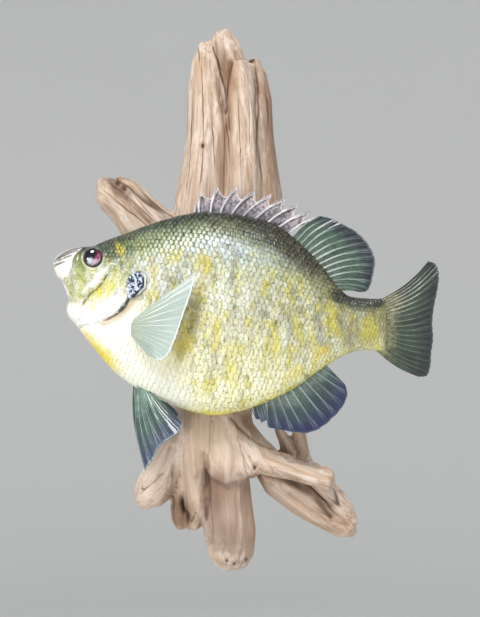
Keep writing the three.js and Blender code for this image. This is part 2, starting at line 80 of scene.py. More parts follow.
FISH_PLANE = -66 * MM
SNOUT_X = -123.4
TAIL_BASE_X = 98
BACK_Z = [
    [-123.4, 33], [-121, 35.5], [-116, 38.6], [-106, 41], [-97, 41.6], [-88, 45.2],
    [-78, 48.8], [-59, 56], [-40, 61.6], [-26, 64], [-12, 63.4], [4, 61], [21, 56.6],
    [30, 51.6], [38, 45], [54, 28.6], [66, 13], [71, 9], [80, 7.2], [98, 7],
]
BELLY_Z = [
    [-123.4, 27], [-122, 22.6], [-118, 16.8], [-113.6, 6], [-110.6, -7], [-104.6, -17],
    [-94, -30], [-84, -41.4], [-68, -53], [-45, -64], [-29, -69.2], [-17, -70.8],
    [1, -68], [18, -62], [36, -53], [56, -39], [72, -30], [88, -28], [98, -31],
]
WIDEST_Z = [[-123.4, 30], [-112, 20], [-97, 10], [-60, 8], [-28, 4], [20, -1], [60, -7], [98, -11]]
HALF_WIDTH = [
    [-123.4, 3.6], [-121.5, 6.2], [-117, 9], [-110, 12], [-97, 15.8], [-80, 19.8], [-62, 22],
    [-40, 22.5], [-10, 21], [20, 16.4], [45, 11], [66, 7.2], [82, 5.2], [91, 3.4], [98, 0.8],
]
# Power of the section's width: below 1 is full and square, above 1 is keeled.
BACK_KEEL = [[-123.4, 0.9], [-97, 0.68], [-80, 0.85], [-50, 1.08], [0, 1.15], [98, 1]]
BELLY_KEEL = [[-123.4, 0.9], [-97, 0.9], [-60, 0.82], [0, 0.86], [60, 1], [98, 1]]
NOSE_ROUNDING = 1.6  # the snout's tip is rounded off over this length
TAIL_ROUNDING = 2

# Middles, and sizes measured from them. The throat's swelling ends at its rear, and the
# ear flap's tilt is in degrees.
EYE = {"x": -95.9, "z": 33.2, "disc": 6.4, "from_middle": 10.8, "bulge": 3.2}
THROAT = {"x": -102.6, "z": -0.6, "length": 12, "width": 12.5, "height": 11, "rear": 4}
EAR_FLAP = {"x": -67.2, "z": 15, "long": 9.4, "short": 6.2, "tilt": 64, "taper": 0.3}

# Lines drawn on the side of the head, as [x, z].
GILL_EDGE = [
    [-88, 31], [-80, 27.4], [-73.6, 24], [-70.2, 19], [-70.2, 12], [-73.4, 5], [-77, 0.2],
    [-81, -3.4], [-87, -6.6], [-94, -9.2], [-100, -11],
]
GILL_SLIT = [[-70.4, 10], [-73.2, 4.6], [-76.8, -0.2], [-80.8, -3.8], [-86, -6.6], [-90, -8.2]]
GILL_MEMBRANE = [[-66.6, 10], [-71, 2.8], [-75.6, -2.4], [-80.4, -5.6], [-87.4, -8.8], [-93.6, -10.8]]
CHEEK_GROOVE = [[-85.5, 23.2], [-88.6, 18.5], [-92.7, 12.8], [-96.9, 10], [-100, 6.4], [-103.6, 1.4]]
MOUTH = [[-122.6, 28], [-119.6, 29.2], [-115, 31]]
LIP_BORDER = [
    [-103, 42], [-103.8, 39.8], [-106.4, 37.6], [-108.4, 35], [-109.6, 32], [-109.6, 27.6],
    [-111.4, 24.6], [-112.8, 21.6], [-115.6, 19.6], [-116.4, 17.6], [-114.4, 14.2],
    [-112.6, 10], [-111.8, 5],
]
LIP_BANDS = [
    [[-121.8, 30.8], [-117.6, 34.2], [-112, 37], [-107, 38.6]],
    [[-120.6, 33.2], [-116, 36.6], [-110, 39.2], [-104.4, 40.6]],
    [[-119, 31.4], [-115, 33.6], [-111, 35]],
]
NOTCHES = [  # under the chin and behind the throat
    [[-114.6, 6], [-110.8, 4.9], [-106.4, 3.6]],
    [[-107, -13.6], [-103.4, -11.6], [-99.4, -11]],
]
NOSTRILS = [[-104.6, 37.6], [-102.6, 39]]
# How far each part of the head stands out of the plain body in millimetres, below 0 where
# it is sunk, and how dark the painted shade in its crease is.
HEAD_RELIEF = {
    "gill cover": 1.25, "gill slit": -1.1, "membrane": 0.5, "groove": -0.8, "cheek fold": 0.35,
    "mouth": -1.5, "lips": 0.55, "lip border": -0.45, "lip bands": -0.35, "notches": -0.7,
    "socket": -3.2, "orbit": 0.9, "orbit moat": -0.12, "nostrils": -0.8,
}
HEAD_CREASES = {
    "gill slit": 1.3, "groove": 0.95, "mouth": 0.85, "lip border": 0.3, "upper lip border": 0.4,
    "lip bands": 0.95, "socket": 0.5, "notches": 0.25, "nostrils": 0.8,
}

# ---- Number helpers ----------------------------------------------------------


def curve_through(pairs, unit=MM):
    """A smooth function through [position, value] pairs, for arrays of positions in metres."""
    at, value = np.array(pairs, float).T
    at, value = at * MM, value * unit
    secant = np.diff(value) / np.diff(at)
    slope = np.concatenate([secant[:1], (secant[:-1] + secant[1:]) / 2, secant[-1:]])

    def evaluate(position):
        position = np.clip(position, at[0], at[-1])
        i = np.clip(np.searchsorted(at, position) - 1, 0, len(at) - 2)
        step = at[i + 1] - at[i]
        part = (position - at[i]) / step
        rise = part * part * (3 - 2 * part)
        leave = slope[i] * step * part * (1 - part) ** 2
        arrive = slope[i + 1] * step * part * part * (part - 1)
        return value[i] + (value[i + 1] - value[i]) * rise + leave + arrive

    return evaluate


def rail(points):
    """A smooth line through points, as a function of 0 to 1 along it."""
    knots = np.array(points, float)
    padded = np.vstack([2 * knots[0] - knots[1], knots, 2 * knots[-1] - knots[-2]])

    def chord(start, end):
        return np.maximum(np.sum((end - start) ** 2, -1, keepdims=True) ** 0.25, 1e-9)

    def evaluate(part):
        place = np.clip(part, 0, 1) * (len(knots) - 1)
        i = np.minimum(place.astype(int), len(knots) - 2)
        t = (place - i)[..., None]
        before, start, end, after = (padded[i + k] for k in range(4))
        first, middle, last = chord(before, start), chord(start, end), chord(end, after)
        leave = ((start - before) / first - (end - before) / (first + middle)) * middle + end - start
        arrive = ((after - end) / last - (after - start) / (middle + last)) * middle + end - start
        rise = t * t * (3 - 2 * t)
        return start + (end - start) * rise + leave * t * (1 - t) ** 2 + arrive * t * t * (t - 1)

    return evaluate


def ramp(low, high, value):
    """0 below low, 1 above high and smooth between."""
    part = np.clip((value - low) / (high - low), 0, 1)
    return part * part * (3 - 2 * part)


def plateau(value, start, full, waning, end):
    """1 from full to waning, 0 before start and past end, and smooth between."""
    return ramp(start, full, value) * (1 - ramp(waning, end, value))


def bump_at(distance, width):
    """1 at no distance, falling smoothly to nearly 0 at twice the width."""
    return np.exp(-((distance / width) ** 2))


def part_way(ends, part):
    """A number a part of the way from the first of two to the second."""
    return ends[0] + (ends[1] - ends[0]) * part


def stroke(spots, line):
    """For spots (n, 2) in metres and a drawn line in millimetres: how far each spot is from
    the line, positive on the left of its direction, and how far along, 0 to 1."""
    corners = np.array(line, float) * MM
    lengths = np.linalg.norm(np.diff(corners, axis=0), axis=1)
    starts = np.concatenate([[0], np.cumsum(lengths)])
    best = np.full(len(spots), np.inf)
    side, along = np.ones(len(spots)), np.zeros(len(spots))
    for i, length in enumerate(lengths):
        direction = (corners[i + 1] - corners[i]) / length
        offset = spots - corners[i]
        part = np.clip(offset @ direction, 0, length)
        away = offset - part[:, None] * direction
        distance = np.linalg.norm(away, axis=1)
        nearer = distance < best
        best = np.where(nearer, distance, best)
        turn = direction[0] * offset[:, 1] - direction[1] * offset[:, 0]
        side = np.where(nearer, np.sign(turn), side)
        along = np.where(nearer, (starts[i] + part) / starts[-1], along)
    return best * side, along


def rumple(points, size, seed=0):
    """Smooth random heights from -1 to 1 at points (n, 3), with swells about one size apart."""
    spot = np.asarray(points) / size + seed * 17.31
    cell = np.floor(spot).astype(np.int64)
    part = spot - cell
    part = part * part * (3 - 2 * part)
    total = np.zeros(len(spot))
    for corner in itertools.product((0, 1), repeat=3):
        mixed = (cell + corner) @ np.array([73856093, 19349663, 83492791])
        mixed = ((mixed ^ (mixed >> 13)) * 1274126177) & 0x7FFFFFFF
        mixed = (mixed ^ (mixed >> 15)) & 0xFFFF
        weight = np.prod(np.where(corner, part, 1 - part), axis=1)
        total += weight * (mixed / 32767.5 - 1)
    return total


# ---- The flesh as a surface --------------------------------------------------
# A place on the body is x and a turn: 0 on the back's ridge, pi on the belly's,
# positive on the left side and negative on the right.

back_z = curve_through(BACK_Z)
belly_z = curve_through(BELLY_Z)
widest_z = curve_through(WIDEST_Z)
half_width = curve_through(HALF_WIDTH)
back_keel = curve_through(BACK_KEEL, 1)
belly_keel = curve_through(BELLY_KEEL, 1)


def end_rounding(x):
    """1 along the body, falling to 0 in a round end at the snout and at the tail's base."""
    nose = np.clip((x - SNOUT_X * MM) / (NOSE_ROUNDING * MM), 0, 1)
    tail = np.clip((TAIL_BASE_X * MM - x) / (TAIL_ROUNDING * MM), 0, 1)
    return np.sqrt(1 - (1 - nose) ** 2) * np.sqrt(1 - (1 - tail) ** 2)


def flesh(x, turn):
    """The plain body's surface."""
    up, out = np.cos(turn), np.sin(turn)
    upper = up > 0
    height = np.where(upper, back_z(x) - widest_z(x), widest_z(x) - belly_z(x))
    keel = np.where(upper, back_keel(x), belly_keel(x))
    rounding = end_rounding(x)
    width = half_width(x) * np.sign(out) * np.abs(out) ** keel * rounding
    return np.stack([x, FISH_PLANE - width, widest_z(x) + up * height * rounding], -1)


def flesh_normal(x, turn):
    """Which way the plain body's surface faces."""
    step, swing = 0.3 * MM, 0.02
    along = flesh(x + step, turn) - flesh(x - step, turn)
    around = flesh(x, turn + swing) - flesh(x, turn - swing)
    normal = np.cross(around, along)
    return normal / np.maximum(np.linalg.norm(normal, axis=-1, keepdims=True), 1e-12)


def turn_at(x, z):
    """The turn at which the left side's surface stands at height z."""
    height = np.where(z > widest_z(x), back_z(x) - widest_z(x), widest_z(x) - belly_z(x))
    return np.arccos(np.clip((z - widest_z(x)) / height, -1, 1))


def gill_parts(spots):
    """How strongly the gill cover, its slit and its membrane show at spots (x, z), 0 to 1."""
    outside, along = stroke(spots, GILL_EDGE)
    cover = ramp(-0.35, 0.35, -outside / MM) * (1 - ramp(3, 16, -outside / MM))
    slit_off, slit_along = stroke(spots, GILL_SLIT)
    gape = 0.45 + 1.1 * bump_at(slit_along - 0.36, 0.2)
    membrane_off, membrane_along = stroke(spots, GILL_MEMBRANE)
    membrane = bump_at(membrane_off / MM, 2.6) * ramp(0, 0.5, outside / MM)
    return {
        "gill cover": cover * plateau(along, 0.02, 0.2, 0.85, 1),
        "gill slit": bump_at(slit_off / MM - 0.4, gape) * plateau(slit_along, 0, 0.1, 0.8, 1),
        "membrane": membrane * plateau(membrane_along, 0, 0.1, 0.85, 1),
    }


def mouth_parts(spots):
    """How strongly the parts of the mouth and the chin show."""
    x, z = spots.T / MM
    mouth_off, mouth_along = stroke(spots, MOUTH)
    border_off = stroke(spots, LIP_BORDER)[0] / MM
    border = bump_at(border_off, 0.55)
    return {
        "mouth": bump_at(mouth_off / MM, 0.5) * (1 - ramp(0.9, 1, mouth_along)),
        "lips": bump_at(np.abs(mouth_off) / MM - 1.9, 1.5) * (1 - ramp(0.85, 1, mouth_along)),
        "lip": ramp(-0.3, 0.3, -border_off) * (x < -100) * (z > 4),
        "lip border": border,
        "upper lip border": border * (z > 27),
        "lip bands": sum(bump_at(stroke(spots, line)[0] / MM, 0.46) for line in LIP_BANDS),
        "notches": sum(bump_at(stroke(spots, line)[0] / MM, 0.9) for line in NOTCHES),
    }


def cheek_parts(spots):
    """How strongly the cheek's groove, the nostrils and the parts round the eye show."""
    x, z = spots.T / MM
    groove_off, groove_along = stroke(spots, CHEEK_GROOVE)
    groove_shows = plateau(groove_along, 0, 0.06, 0.93, 1)
    off_disc = np.hypot(x - EYE["x"], z - EYE["z"]) - EYE["disc"]
    return {
        "groove": bump_at(groove_off / MM, 0.6) * groove_shows,
        "cheek fold": bump_at(groove_off / MM + 1.7, 1.5) * groove_shows,
        "nostrils": sum(bump_at(np.hypot(x - a, z - b), 0.7) for a, b in NOSTRILS),
        "socket": 1 - ramp(-0.9, 0.1, off_disc),
        "orbit": bump_at(off_disc - 1.1, 1.1),
        "orbit moat": bump_at(off_disc - 3.3, 0.8),
        "lid": bump_at(off_disc - 0.5, 0.7) * (1 - 0.7 * ramp(1, 5, z - EYE["z"])),
    }


def head_relief(spots):
    """How far the head's skin stands out of the plain body at spots (x, z), with the parts
    of it that have a colour of their own and the painted shade in its creases, each from 0 to 1."""
    parts = gill_parts(spots) | mouth_parts(spots) | cheek_parts(spots)
    height = sum(rise * parts[name] for name, rise in HEAD_RELIEF.items())
    crease = sum(darkness * parts[name] for name, darkness in HEAD_CREASES.items())
    colours = {name: parts[name] for name in ("membrane", "lip", "lid")}
    return height * MM, colours | {"crease": np.clip(crease, 0, 1)}


def skin_surface(x, turn, depth):
    """Points on the skin and its normals, at a depth inside the plain body."""
    base, normal = flesh(x, turn), flesh_normal(x, turn)
    spots = base[:, [0, 2]]
    height, colours = head_relief(spots)
    off_ridge = np.minimum(1, np.abs(np.sin(turn)) * 2.2)
    points = base + normal * (height * off_ridge - depth)[:, None]
    centre = np.array([THROAT["x"] * MM, FISH_PLANE, THROAT["z"] * MM])
    radii = np.array([THROAT["length"], THROAT["width"], THROAT["height"]]) * MM
    inside = np.linalg.norm((points - centre) / radii, axis=1)
    swell = np.where((inside < 1) & (x < centre[0] + THROAT["rear"] * MM), 1 / np.maximum(inside, 0.4), 1)
    points = centre + (points - centre) * swell[:, None]
    return points, normal, colours


# ---- Mesh helpers ------------------------------------------------------------


def grid_mesh(name, across, along, thick=False):
    """A flat grid from (0, 0) to (1, 1), or a closed plate with its other face at z = 1."""
    bm = bmesh.new()
    bmesh.ops.create_grid(bm, x_segments=across, y_segments=along, size=0.5)
    if thick:
        bmesh.ops.solidify(bm, geom=bm.faces[:], thickness=1)
    bmesh.ops.translate(bm, vec=(0.5, 0.5, 1 if thick else 0), verts=bm.verts)
    return finished_mesh(bm, name)


def finished_mesh(bm, name):
    mesh = bpy.data.meshes.new(name)
    bm.to_mesh(mesh)
    bm.free()
    return mesh


def points_of(mesh):
    """The mesh's vertices, as an array (n, 3)."""
    flat_list = np.empty(len(mesh.vertices) * 3)
    mesh.vertices.foreach_get("co", flat_list)
    return flat_list.reshape(-1, 3)


def place_points(mesh, points):
    mesh.vertices.foreach_set("co", np.asarray(points, np.float32).ravel())
    mesh.update()


def give(mesh, name, values):
    """A named number, or vector, on each vertex."""
    values = np.asarray(values, np.float32)
    kind, field = ("FLOAT", "value") if values.ndim == 1 else ("FLOAT_VECTOR", "vector")
    mesh.attributes.new(name, kind, "POINT").data.foreach_set(field, values.ravel())


def lay_out(mesh, name, flat_places):
    """A UV map from each vertex's place on it."""
    corners = np.empty(len(mesh.loops), int)
    mesh.loops.foreach_get("vertex_index", corners)
    chart = mesh.uv_layers.new(name=name)
    chart.data.foreach_set("uv", np.asarray(flat_places, np.float32)[corners].ravel())


def close_up(mesh):
    """Merges the mesh's coincident points, and turns its faces outwards."""
    bm = bmesh.new()
    bm.from_mesh(mesh)
    bmesh.ops.remove_doubles(bm, verts=bm.verts, dist=0.01 * MM)
    bmesh.ops.recalc_face_normals(bm, faces=bm.faces)
    bm.to_mesh(mesh)
    bm.free()


def piece(mesh, slot, material, *replaced):
    """Makes the mesh a finished object of the model, in place of the CAD nodes it replaces."""
    mesh.shade_smooth()
    mesh.materials.append(material)
    made = bpy.data.objects.new(mesh.name, mesh)
    bpy.context.scene.collection.objects.link(made)
    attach(made, "root")
    if replaced:
        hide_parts(*replaced)


# ---- Shader helpers ----------------------------------------------------------


def colour(code):
    """A linear colour from its screen value, such as "c8b090"."""
    parts = [int(code[i : i + 2], 16) / 255 for i in (0, 2, 4)]
    return [p / 12.92 if p < 0.04045 else ((p + 0.055) / 1.055) ** 2.4 for p in parts] + [1]


def tints(**codes):
    """Linear colours by name, from their screen values."""
    return {name: colour(code) for name, code in codes.items()}


def wire(tree, kind, inputs=(), out=0, **settings):
    """Adds a node, sets or links its inputs by number or name, and returns one output."""
    node = tree.nodes.new("ShaderNode" + kind)
    for key, value in settings.items():
        setattr(node, key, value)
    for key, value in inputs.items() if isinstance(inputs, dict) else enumerate(inputs):
        if isinstance(value, bpy.types.NodeSocket):
            tree.links.new(value, node.inputs[key])
        elif value is not None:
            node.inputs[key].default_value = value
    return node.outputs[out]


def math_node(tree, operation, first, second=0.0, third=0.0):
    return wire(tree, "Math", [first, second, third], operation=operation)


def product(tree, first, second):
    return math_node(tree, "MULTIPLY", first, second)


def blend(tree, part, first, second, mode="MIX"):
    """Two colours mixed by a part from 0 to 1."""
    return wire(tree, "Mix", {0: part, 6: first, 7: second}, out=2, data_type="RGBA", blend_type=mode)


def stretch(tree, value, low, high, to_low=0.0, to_high=1.0):
    """A value from low to high carried smoothly over to the range from to_low to to_high."""
    inputs = [value, low, high, to_low, to_high]
    return wire(tree, "MapRange", inputs, interpolation_type="SMOOTHSTEP")


def object_place(tree):
    return wire(tree, "TexCoord", out=3)


def read(tree, name):
    """A number that the mesh carries under a name."""
    return wire(tree, "Attribute", out=2, attribute_name=name)


def noise_at(tree, place, scale, detail=2.0, roughness=0.5, distortion=0.0):
    inputs = {"Vector": place, "Scale": scale, "Detail": detail}
    return wire(tree, "TexNoise", inputs | {"Roughness": roughness, "Distortion": distortion})


def new_group(name, sockets):
    """An empty shader node group; sockets are (name, kind, default) with inputs first and
    outputs marked by a default of None."""
    tree = bpy.data.node_groups.new(name, "ShaderNodeTree")
    for label, kind, default in sockets:
        way = "OUTPUT" if default is None else "INPUT"
        socket = tree.interface.new_socket(name=label, in_out=way, socket_type="NodeSocket" + kind)
        if default is not None:
            socket.default_value = default
    given = tree.nodes.new("NodeGroupInput").outputs
    result = tree.nodes.new("NodeGroupOutput").inputs
    return tree, given, result


def group_of(tree, name, values):
    """Places a node group with its inputs set or linked, and returns its outputs."""
    node = tree.nodes.new("ShaderNodeGroup")
    node.node_tree = bpy.data.node_groups[name]
    for key, value in values.items():
        if isinstance(value, bpy.types.NodeSocket):
            tree.links.new(value, node.inputs[key])
        else:
            node.inputs[key].default_value = value
    return node.outputs


def new_material(name, plain):
    """A material with one Principled shader; plain values go straight on its sockets."""
    material = bpy.data.materials.new(name)
    material.use_nodes = True
    shader = material.node_tree.nodes["Principled BSDF"]
    for key, value in plain.items():
        shader.inputs[key].default_value = value
    return material, material.node_tree, shader.inputs


def join(tree, value, socket):
    tree.links.new(value, socket)


def raise_by(tree, socket, height, distance, strength=1.0):
    """Bumps the surface by a height over a distance in metres."""
    inputs = {"Strength": strength, "Distance": distance, "Height": height}
    join(tree, wire(tree, "Bump", inputs), socket)


# ---- Paint shared by the skin and the scales ---------------------------------
# Bands of colour from the back's ridge, 0, to the belly's, 1, at the middle of the
# body, and airbrushed patches over them: name, colour, centre and half size in x and
# z (millimetres), turn in degrees, strength and softness.

GIRTH_BANDS = [
    (0.0, "0b100e"), (0.09, "151d19"), (0.14, "27322b"), (0.19, "4a5a4b"), (0.235, "86957c"),
    (0.29, "bcc8ac"), (0.36, "d9e0ca"), (0.46, "e6e8d8"), (0.57, "e8e7cc"), (0.68, "f1eec4"),
    (0.8, "faf8d2"), (0.92, "f8f29c"), (1.0, "f0dd34"),
]
REAR_DROP = 0.065  # towards the tail the dark of the back reaches this much further round
PATCHES = [
    ("rear flank", "b9b680", (60, 0), (44, 46), 0, 0.5, 0.6),
    ("tail stem", "918d52", (84, -10), (28, 21), 0, 0.75, 0.6),
    ("tail stem top", "12191a", (82, 7), (26, 7.4), 0, 1.0, 0.45),
    ("rear back", "231f19", (36, 45), (46, 13), -40, 0.85, 0.5),
    ("shoulder", "3f5548", (-58, 50), (28, 8), 14, 0.6, 0.6),
    # The flank's pale silver band, with a painted highlight on it.
    ("silver band with painted highlight", "c6d4de", (-14, 39), (38, 7), -10, 0.8, 0.6),
    ("pale flank", "d6d9d2", (-52, 20), (20, 13), -10, 0.8, 0.6),
    # Painted light: the yellow behind the pectoral fin is lightened where the fin's shadow falls.
    ("behind the fin", "e0d068", (-33, -10), (8, 24), -14, 0.7, 0.7),
    ("first bar", "a9ab97", (-4, 8), (4, 32), 4, 0.35, 0.8),
    ("second bar", "a3a591", (17, 2), (4, 34), 6, 0.4, 0.8),
    ("third bar", "8f907c", (36, -6), (5, 30), 8, 0.55, 0.8),
    ("fourth bar", "7f8170", (54, -3), (5.6, 20), 6, 0.75, 0.8),
    ("forehead", "1f2c26", (-86, 47.4), (20, 6.4), 19, 0.95, 0.5),
    ("green shoulder", "8c9a5e", (-56, 43), (30, 7.4), 12, 0.7, 0.7),
    ("olive back", "71713f", (-12, 54.5), (15, 4), -6, 0.55, 0.8),
    ("behind the eye", "4a5f48", (-82, 37), (14, 6.6), -16, 0.9, 0.6),
    ("temple", "6c7c52", (-80, 27), (10, 5.6), -30, 0.75, 0.7),
    ("snout", "6c7233", (-105.2, 32), (4.2, 9), 24, 0.9, 0.5),
    ("cheek", "a3a852", (-104, 15), (8.4, 13), 10, 0.9, 0.55),
    ("gill cover top", "c3c163", (-80, 19), (8, 4), 30, 0.7, 0.6),
    ("gill cover", "d9dc8e", (-88, 8), (11, 5), 46, 0.6, 0.6),
]
# Patches painted over the mottling, later ones over earlier ones.
CLEAN_PATCHES = [
    ("breast", "fffdf2", (-82, -22), (28, 27), -38, 1.0, 0.35),
    ("under the pectoral", "f6f2d0", (-52, -34), (20, 12), -30, 0.7, 0.6),
    ("breast edge", "f2e03c", (-87, -38), (31, 7.4), -47, 1.0, 0.5),
    # Painted light: the lower front of the belly is painted near white where it faces down into shade.
    ("belly front", "ffffee", (-57, -51), (28, 12), -24, 1.0, 0.45),
    ("belly edge", "f1e04a", (-30, -70), (34, 3), -3, 0.8, 0.6),
    ("gold behind the fin", "dcc72f", (-38, -24), (6, 10), -20, 0.6, 0.7),
    ("gold nape", "cdbc36", (-79.6, 40), (2.4, 4.4), 20, 0.8, 0.7),
    ("gold flank", "d2c246", (-23, 29), (4.6, 8), 8, 0.7, 0.8),
    ("gold middle", "e0d45a", (-15.6, -18), (3, 8), 0, 0.55, 0.8),
    ("gold low middle", "e4da5c", (-5, -42), (3.4, 9), 10, 0.5, 0.8),
    ("gold rear", "e4d84a", (23, -24), (3.4, 11), 4, 0.6, 0.7),
    ("gold far rear", "d9cf50", (38.5, -13), (3, 11), 8, 0.55, 0.7),
    ("gold low rear", "e2d246", (36, -42), (6, 4), 34, 0.6, 0.7),
    ("gold bar", "d2c63a", (61.4, -8), (3, 11), 12, 0.75, 0.7),
    ("amber", "dcc034", (54, -27), (5, 2.8), 10, 0.7, 0.7),
    ("gold stem", "c2b738", (84.6, -15), (4.6, 8), 0, 0.75, 0.7),
    ("grey middle", "b4b49a", (8, 16), (4, 13), 6, 0.45, 0.8),
    ("grey bar", "a3a599", (52.4, -13), (2.8, 10), 10, 0.65, 0.7),
    ("grey rear", "85806a", (72.4, -18), (2.4, 8), 0, 0.6, 0.7),
    ("grey stem", "94957c", (70, -1.6), (4.4, 6), 20, 0.7, 0.7),
    ("stem side", "8b8d68", (84, -2.4), (9, 3), 0, 0.55, 0.7),
    # Dusky spots behind the pectoral fin, darkened further as a painted shadow of the fin.
    ("dusk and painted shadow behind the fin", "8b8060", (-30, -9), (3, 8), -8, 0.5, 0.8),
    ("low dusk and painted shadow behind the fin", "958a54", (-38, -31), (2.6, 5), -20, 0.4, 0.8),
    ("high dusk and painted shadow behind the fin", "857c5c", (-29, 5), (3, 5), 0, 0.45, 0.8),
    ("under the eye", "f0f1ec", (-93.6, 19.2), (11, 2.8), 42, 0.95, 0.5),
    ("gill cover rear", "fcfcf6", (-80.4, 1.4), (11, 5.6), 44, 0.9, 0.5),
    ("under the groove", "ccc552", (-93, 10.6), (9.5, 1.4), 48, 0.75, 0.6),
    ("gold cheek", "dcd040", (-90.4, 9.6), (1.8, 2.6), 20, 0.8, 0.6),
    ("gold cheek rear", "e2d65a", (-85, 13), (2.4, 4.4), -20, 0.6, 0.7),
    ("throat", "fffefa", (-103, -4), (13, 9), 6, 1.0, 0.35),
    ("gold cheek low", "e6d65c", (-95.4, 0.4), (2.2, 3.6), -14, 0.65, 0.8),
    ("grey cheek low", "cfd0c6", (-90.6, 3.2), (1.2, 2.2), -20, 0.6, 0.6),
    ("gold at the groove's foot", "ddd05a", (-101.6, 3), (3.4, 1.4), 48, 0.7, 0.6),
    ("grey gill cover", "b9bcb4", (-80.4, 8.6), (1.0, 2.0), -40, 0.7, 0.6),
    # Painted shade above the eye.
    ("brow", "14201d", (-94.6, 41.6), (9, 2), 10, 0.95, 0.5),
    # The olive of the tail's root, darkened as painted shade over the lit rounded end of the skin.
    ("tail root", "7f7c4c", (97, -11), (4.6, 24), 0, 0.9, 0.6),
    ("stem top", "161f20", (82, 5.8), (19, 4.6), 0, 0.85, 0.5),
    ("rear back top", "2a261c", (52, 28), (16, 3.4), -38, 0.55, 0.7),
]
# Small dark flecks: x, z and half width.
FLECKS = [
    (-3.9, 0.3, 1.5), (5.9, -44.9, 1.3), (-8.5, -21.3, 1.5), (43.2, -44.2, 1.5), (73.3, -28.5, 1.4),
    (24, -9, 1.2), (52, -14, 1.2),
]
FLECK_STRENGTH = 0.6
MARKING_TINTS = tints(fleck="6b6a4c", pearl="eef2e6", speckle="a5a58e", glint="66665a")
# Patches on the lips alone.
LIP_PATCHES = [
    ("lip's top", "8d898b", (-114, 36.6), (9, 2.4), 28, 0.6, 0.7),
    ("lip's tip", "a5a19e", (-120, 31.6), (2.4, 2.6), 0, 0.5, 0.7),
]
# Mottling drawn out into upright bars: name, width against height, swells per metre,
# and the noise at which it starts and is full.
MOTTLES = {"gold": (0.45, 150, 0.5, 0.64), "dusk": (0.35, 140, 0.5, 0.66), "pale": (0.7, 210, 0.48, 0.62)}


def wandering(tree, place, swells, reach):
    """The place, shifted about by smooth noise over a reach in millimetres."""
    loose = wire(tree, "TexNoise", {"Vector": place, "Scale": swells, "Detail": 2}, out=1)
    shift = wire(tree, "VectorMath", [loose, (0.5, 0.5, 0.5)], operation="SUBTRACT")
    shift = wire(tree, "VectorMath", {0: shift, 3: reach * MM}, operation="SCALE")
    return wire(tree, "VectorMath", [place, shift])


def within(tree, place, centre, half_size, turn, softness):
    """1 inside a flat oval on the fish's side, falling to 0 at its edge."""
    inputs = {
        "Vector": place,
        "Location": (centre[0] * MM, 0, centre[1] * MM),
        "Rotation": (0, -math.radians(turn), 0),
        "Scale": (half_size[0] * MM, 1, half_size[1] * MM),
    }
    local = wire(tree, "Mapping", inputs, vector_type="TEXTURE")
    flat_place = wire(tree, "VectorMath", [local, (1, 0, 1)], operation="MULTIPLY")
    distance = wire(tree, "VectorMath", [flat_place], out=1, operation="LENGTH")
    return stretch(tree, distance, 1.0 + softness, 1.0 - softness)


def airbrushed(tree, place, paint, patches):
    """The paint with patches sprayed on it; their names are there for the reader alone."""
    for _, code, centre, half_size, turn, strength, softness in patches:
        part = within(tree, place, centre, half_size, turn, softness)
        paint = blend(tree, product(tree, part, strength), paint, colour(code))
    return paint


def make_paint_group(look):
    """The fish's markings, with painted highlights, glints, light and shade among them: a colour from the
    place on the body and the girth.
    """
    tree, given, result = new_group("fish_paint", [("Girth", "Float", 0.5), ("Color", "Color", None)])
    place = object_place(tree)
    soft_edge = noise_at(tree, place, 260, 3)
    moved = wandering(tree, place, 90, 9)

    girth = math_node(tree, "MULTIPLY_ADD", soft_edge, 0.07, -0.035)
    girth = math_node(tree, "ADD", given["Girth"], girth)
    bands = tree.nodes.new("ShaderNodeValToRGB")
    bands.color_ramp.interpolation = "LINEAR"
    while len(bands.color_ramp.elements) < len(GIRTH_BANDS):
        bands.color_ramp.elements.new(0.5)
    for stop, (at, code) in zip(bands.color_ramp.elements, GIRTH_BANDS):
        stop.position, stop.color = at, colour(code)
    join(tree, girth, bands.inputs[0])
    paint = airbrushed(tree, moved, bands.outputs[0], PATCHES)

    flank = stretch(tree, given["Girth"], 0.2, 0.36)
    mottling = {
        "pale": (MARKING_TINTS["pearl"], look.pale_strength),
        "dusk": ([*look.dusk_colour, 1], look.dusk_strength),
        "gold": ([*look.gold_colour, 1], look.gold_strength),
    }
    for number, (name, (tint, strength)) in enumerate(mottling.items()):
        tall, swells, start, full = MOTTLES[name]
        inputs = {"Vector": place, "Location": (number * 3.1, 0, number * 1.7), "Scale": (1, 1, tall)}
        drawn_out = wire(tree, "Mapping", inputs)
        part = stretch(tree, noise_at(tree, drawn_out, swells, 3, 0.6), start, full, 0, strength)
        paint = blend(tree, product(tree, part, flank), paint, tint)
    speckle = stretch(tree, noise_at(tree, place, 620, 2, 0.6), 0.5, 0.68, 0, 0.75)
    paint = blend(tree, speckle, paint, MARKING_TINTS["speckle"], "MULTIPLY")
    glint = stretch(tree, noise_at(tree, place, 800, 2, 0.6), 0.56, 0.7, 0, 0.6)
    paint = blend(tree, glint, paint, MARKING_TINTS["glint"], "SCREEN")
    paint = airbrushed(tree, moved, paint, CLEAN_PATCHES)
    for x, z, radius in FLECKS:
        part = within(tree, moved, (x, z), (radius, radius * 1.3), 0, 0.45)
        paint = blend(tree, product(tree, part, FLECK_STRENGTH), paint, MARKING_TINTS["fleck"])
    join(tree, paint, result["Color"])


# ---- The skin ----------------------------------------------------------------

SKIN_AROUND = 352
SKIN_ALONG = 220
# The part of the skin's cells that lies ahead of each x; they are closest on the head.
SKIN_STATIONS = [(0, SNOUT_X), (0.08, -119), (0.64, -66), (1, TAIL_BASE_X)]
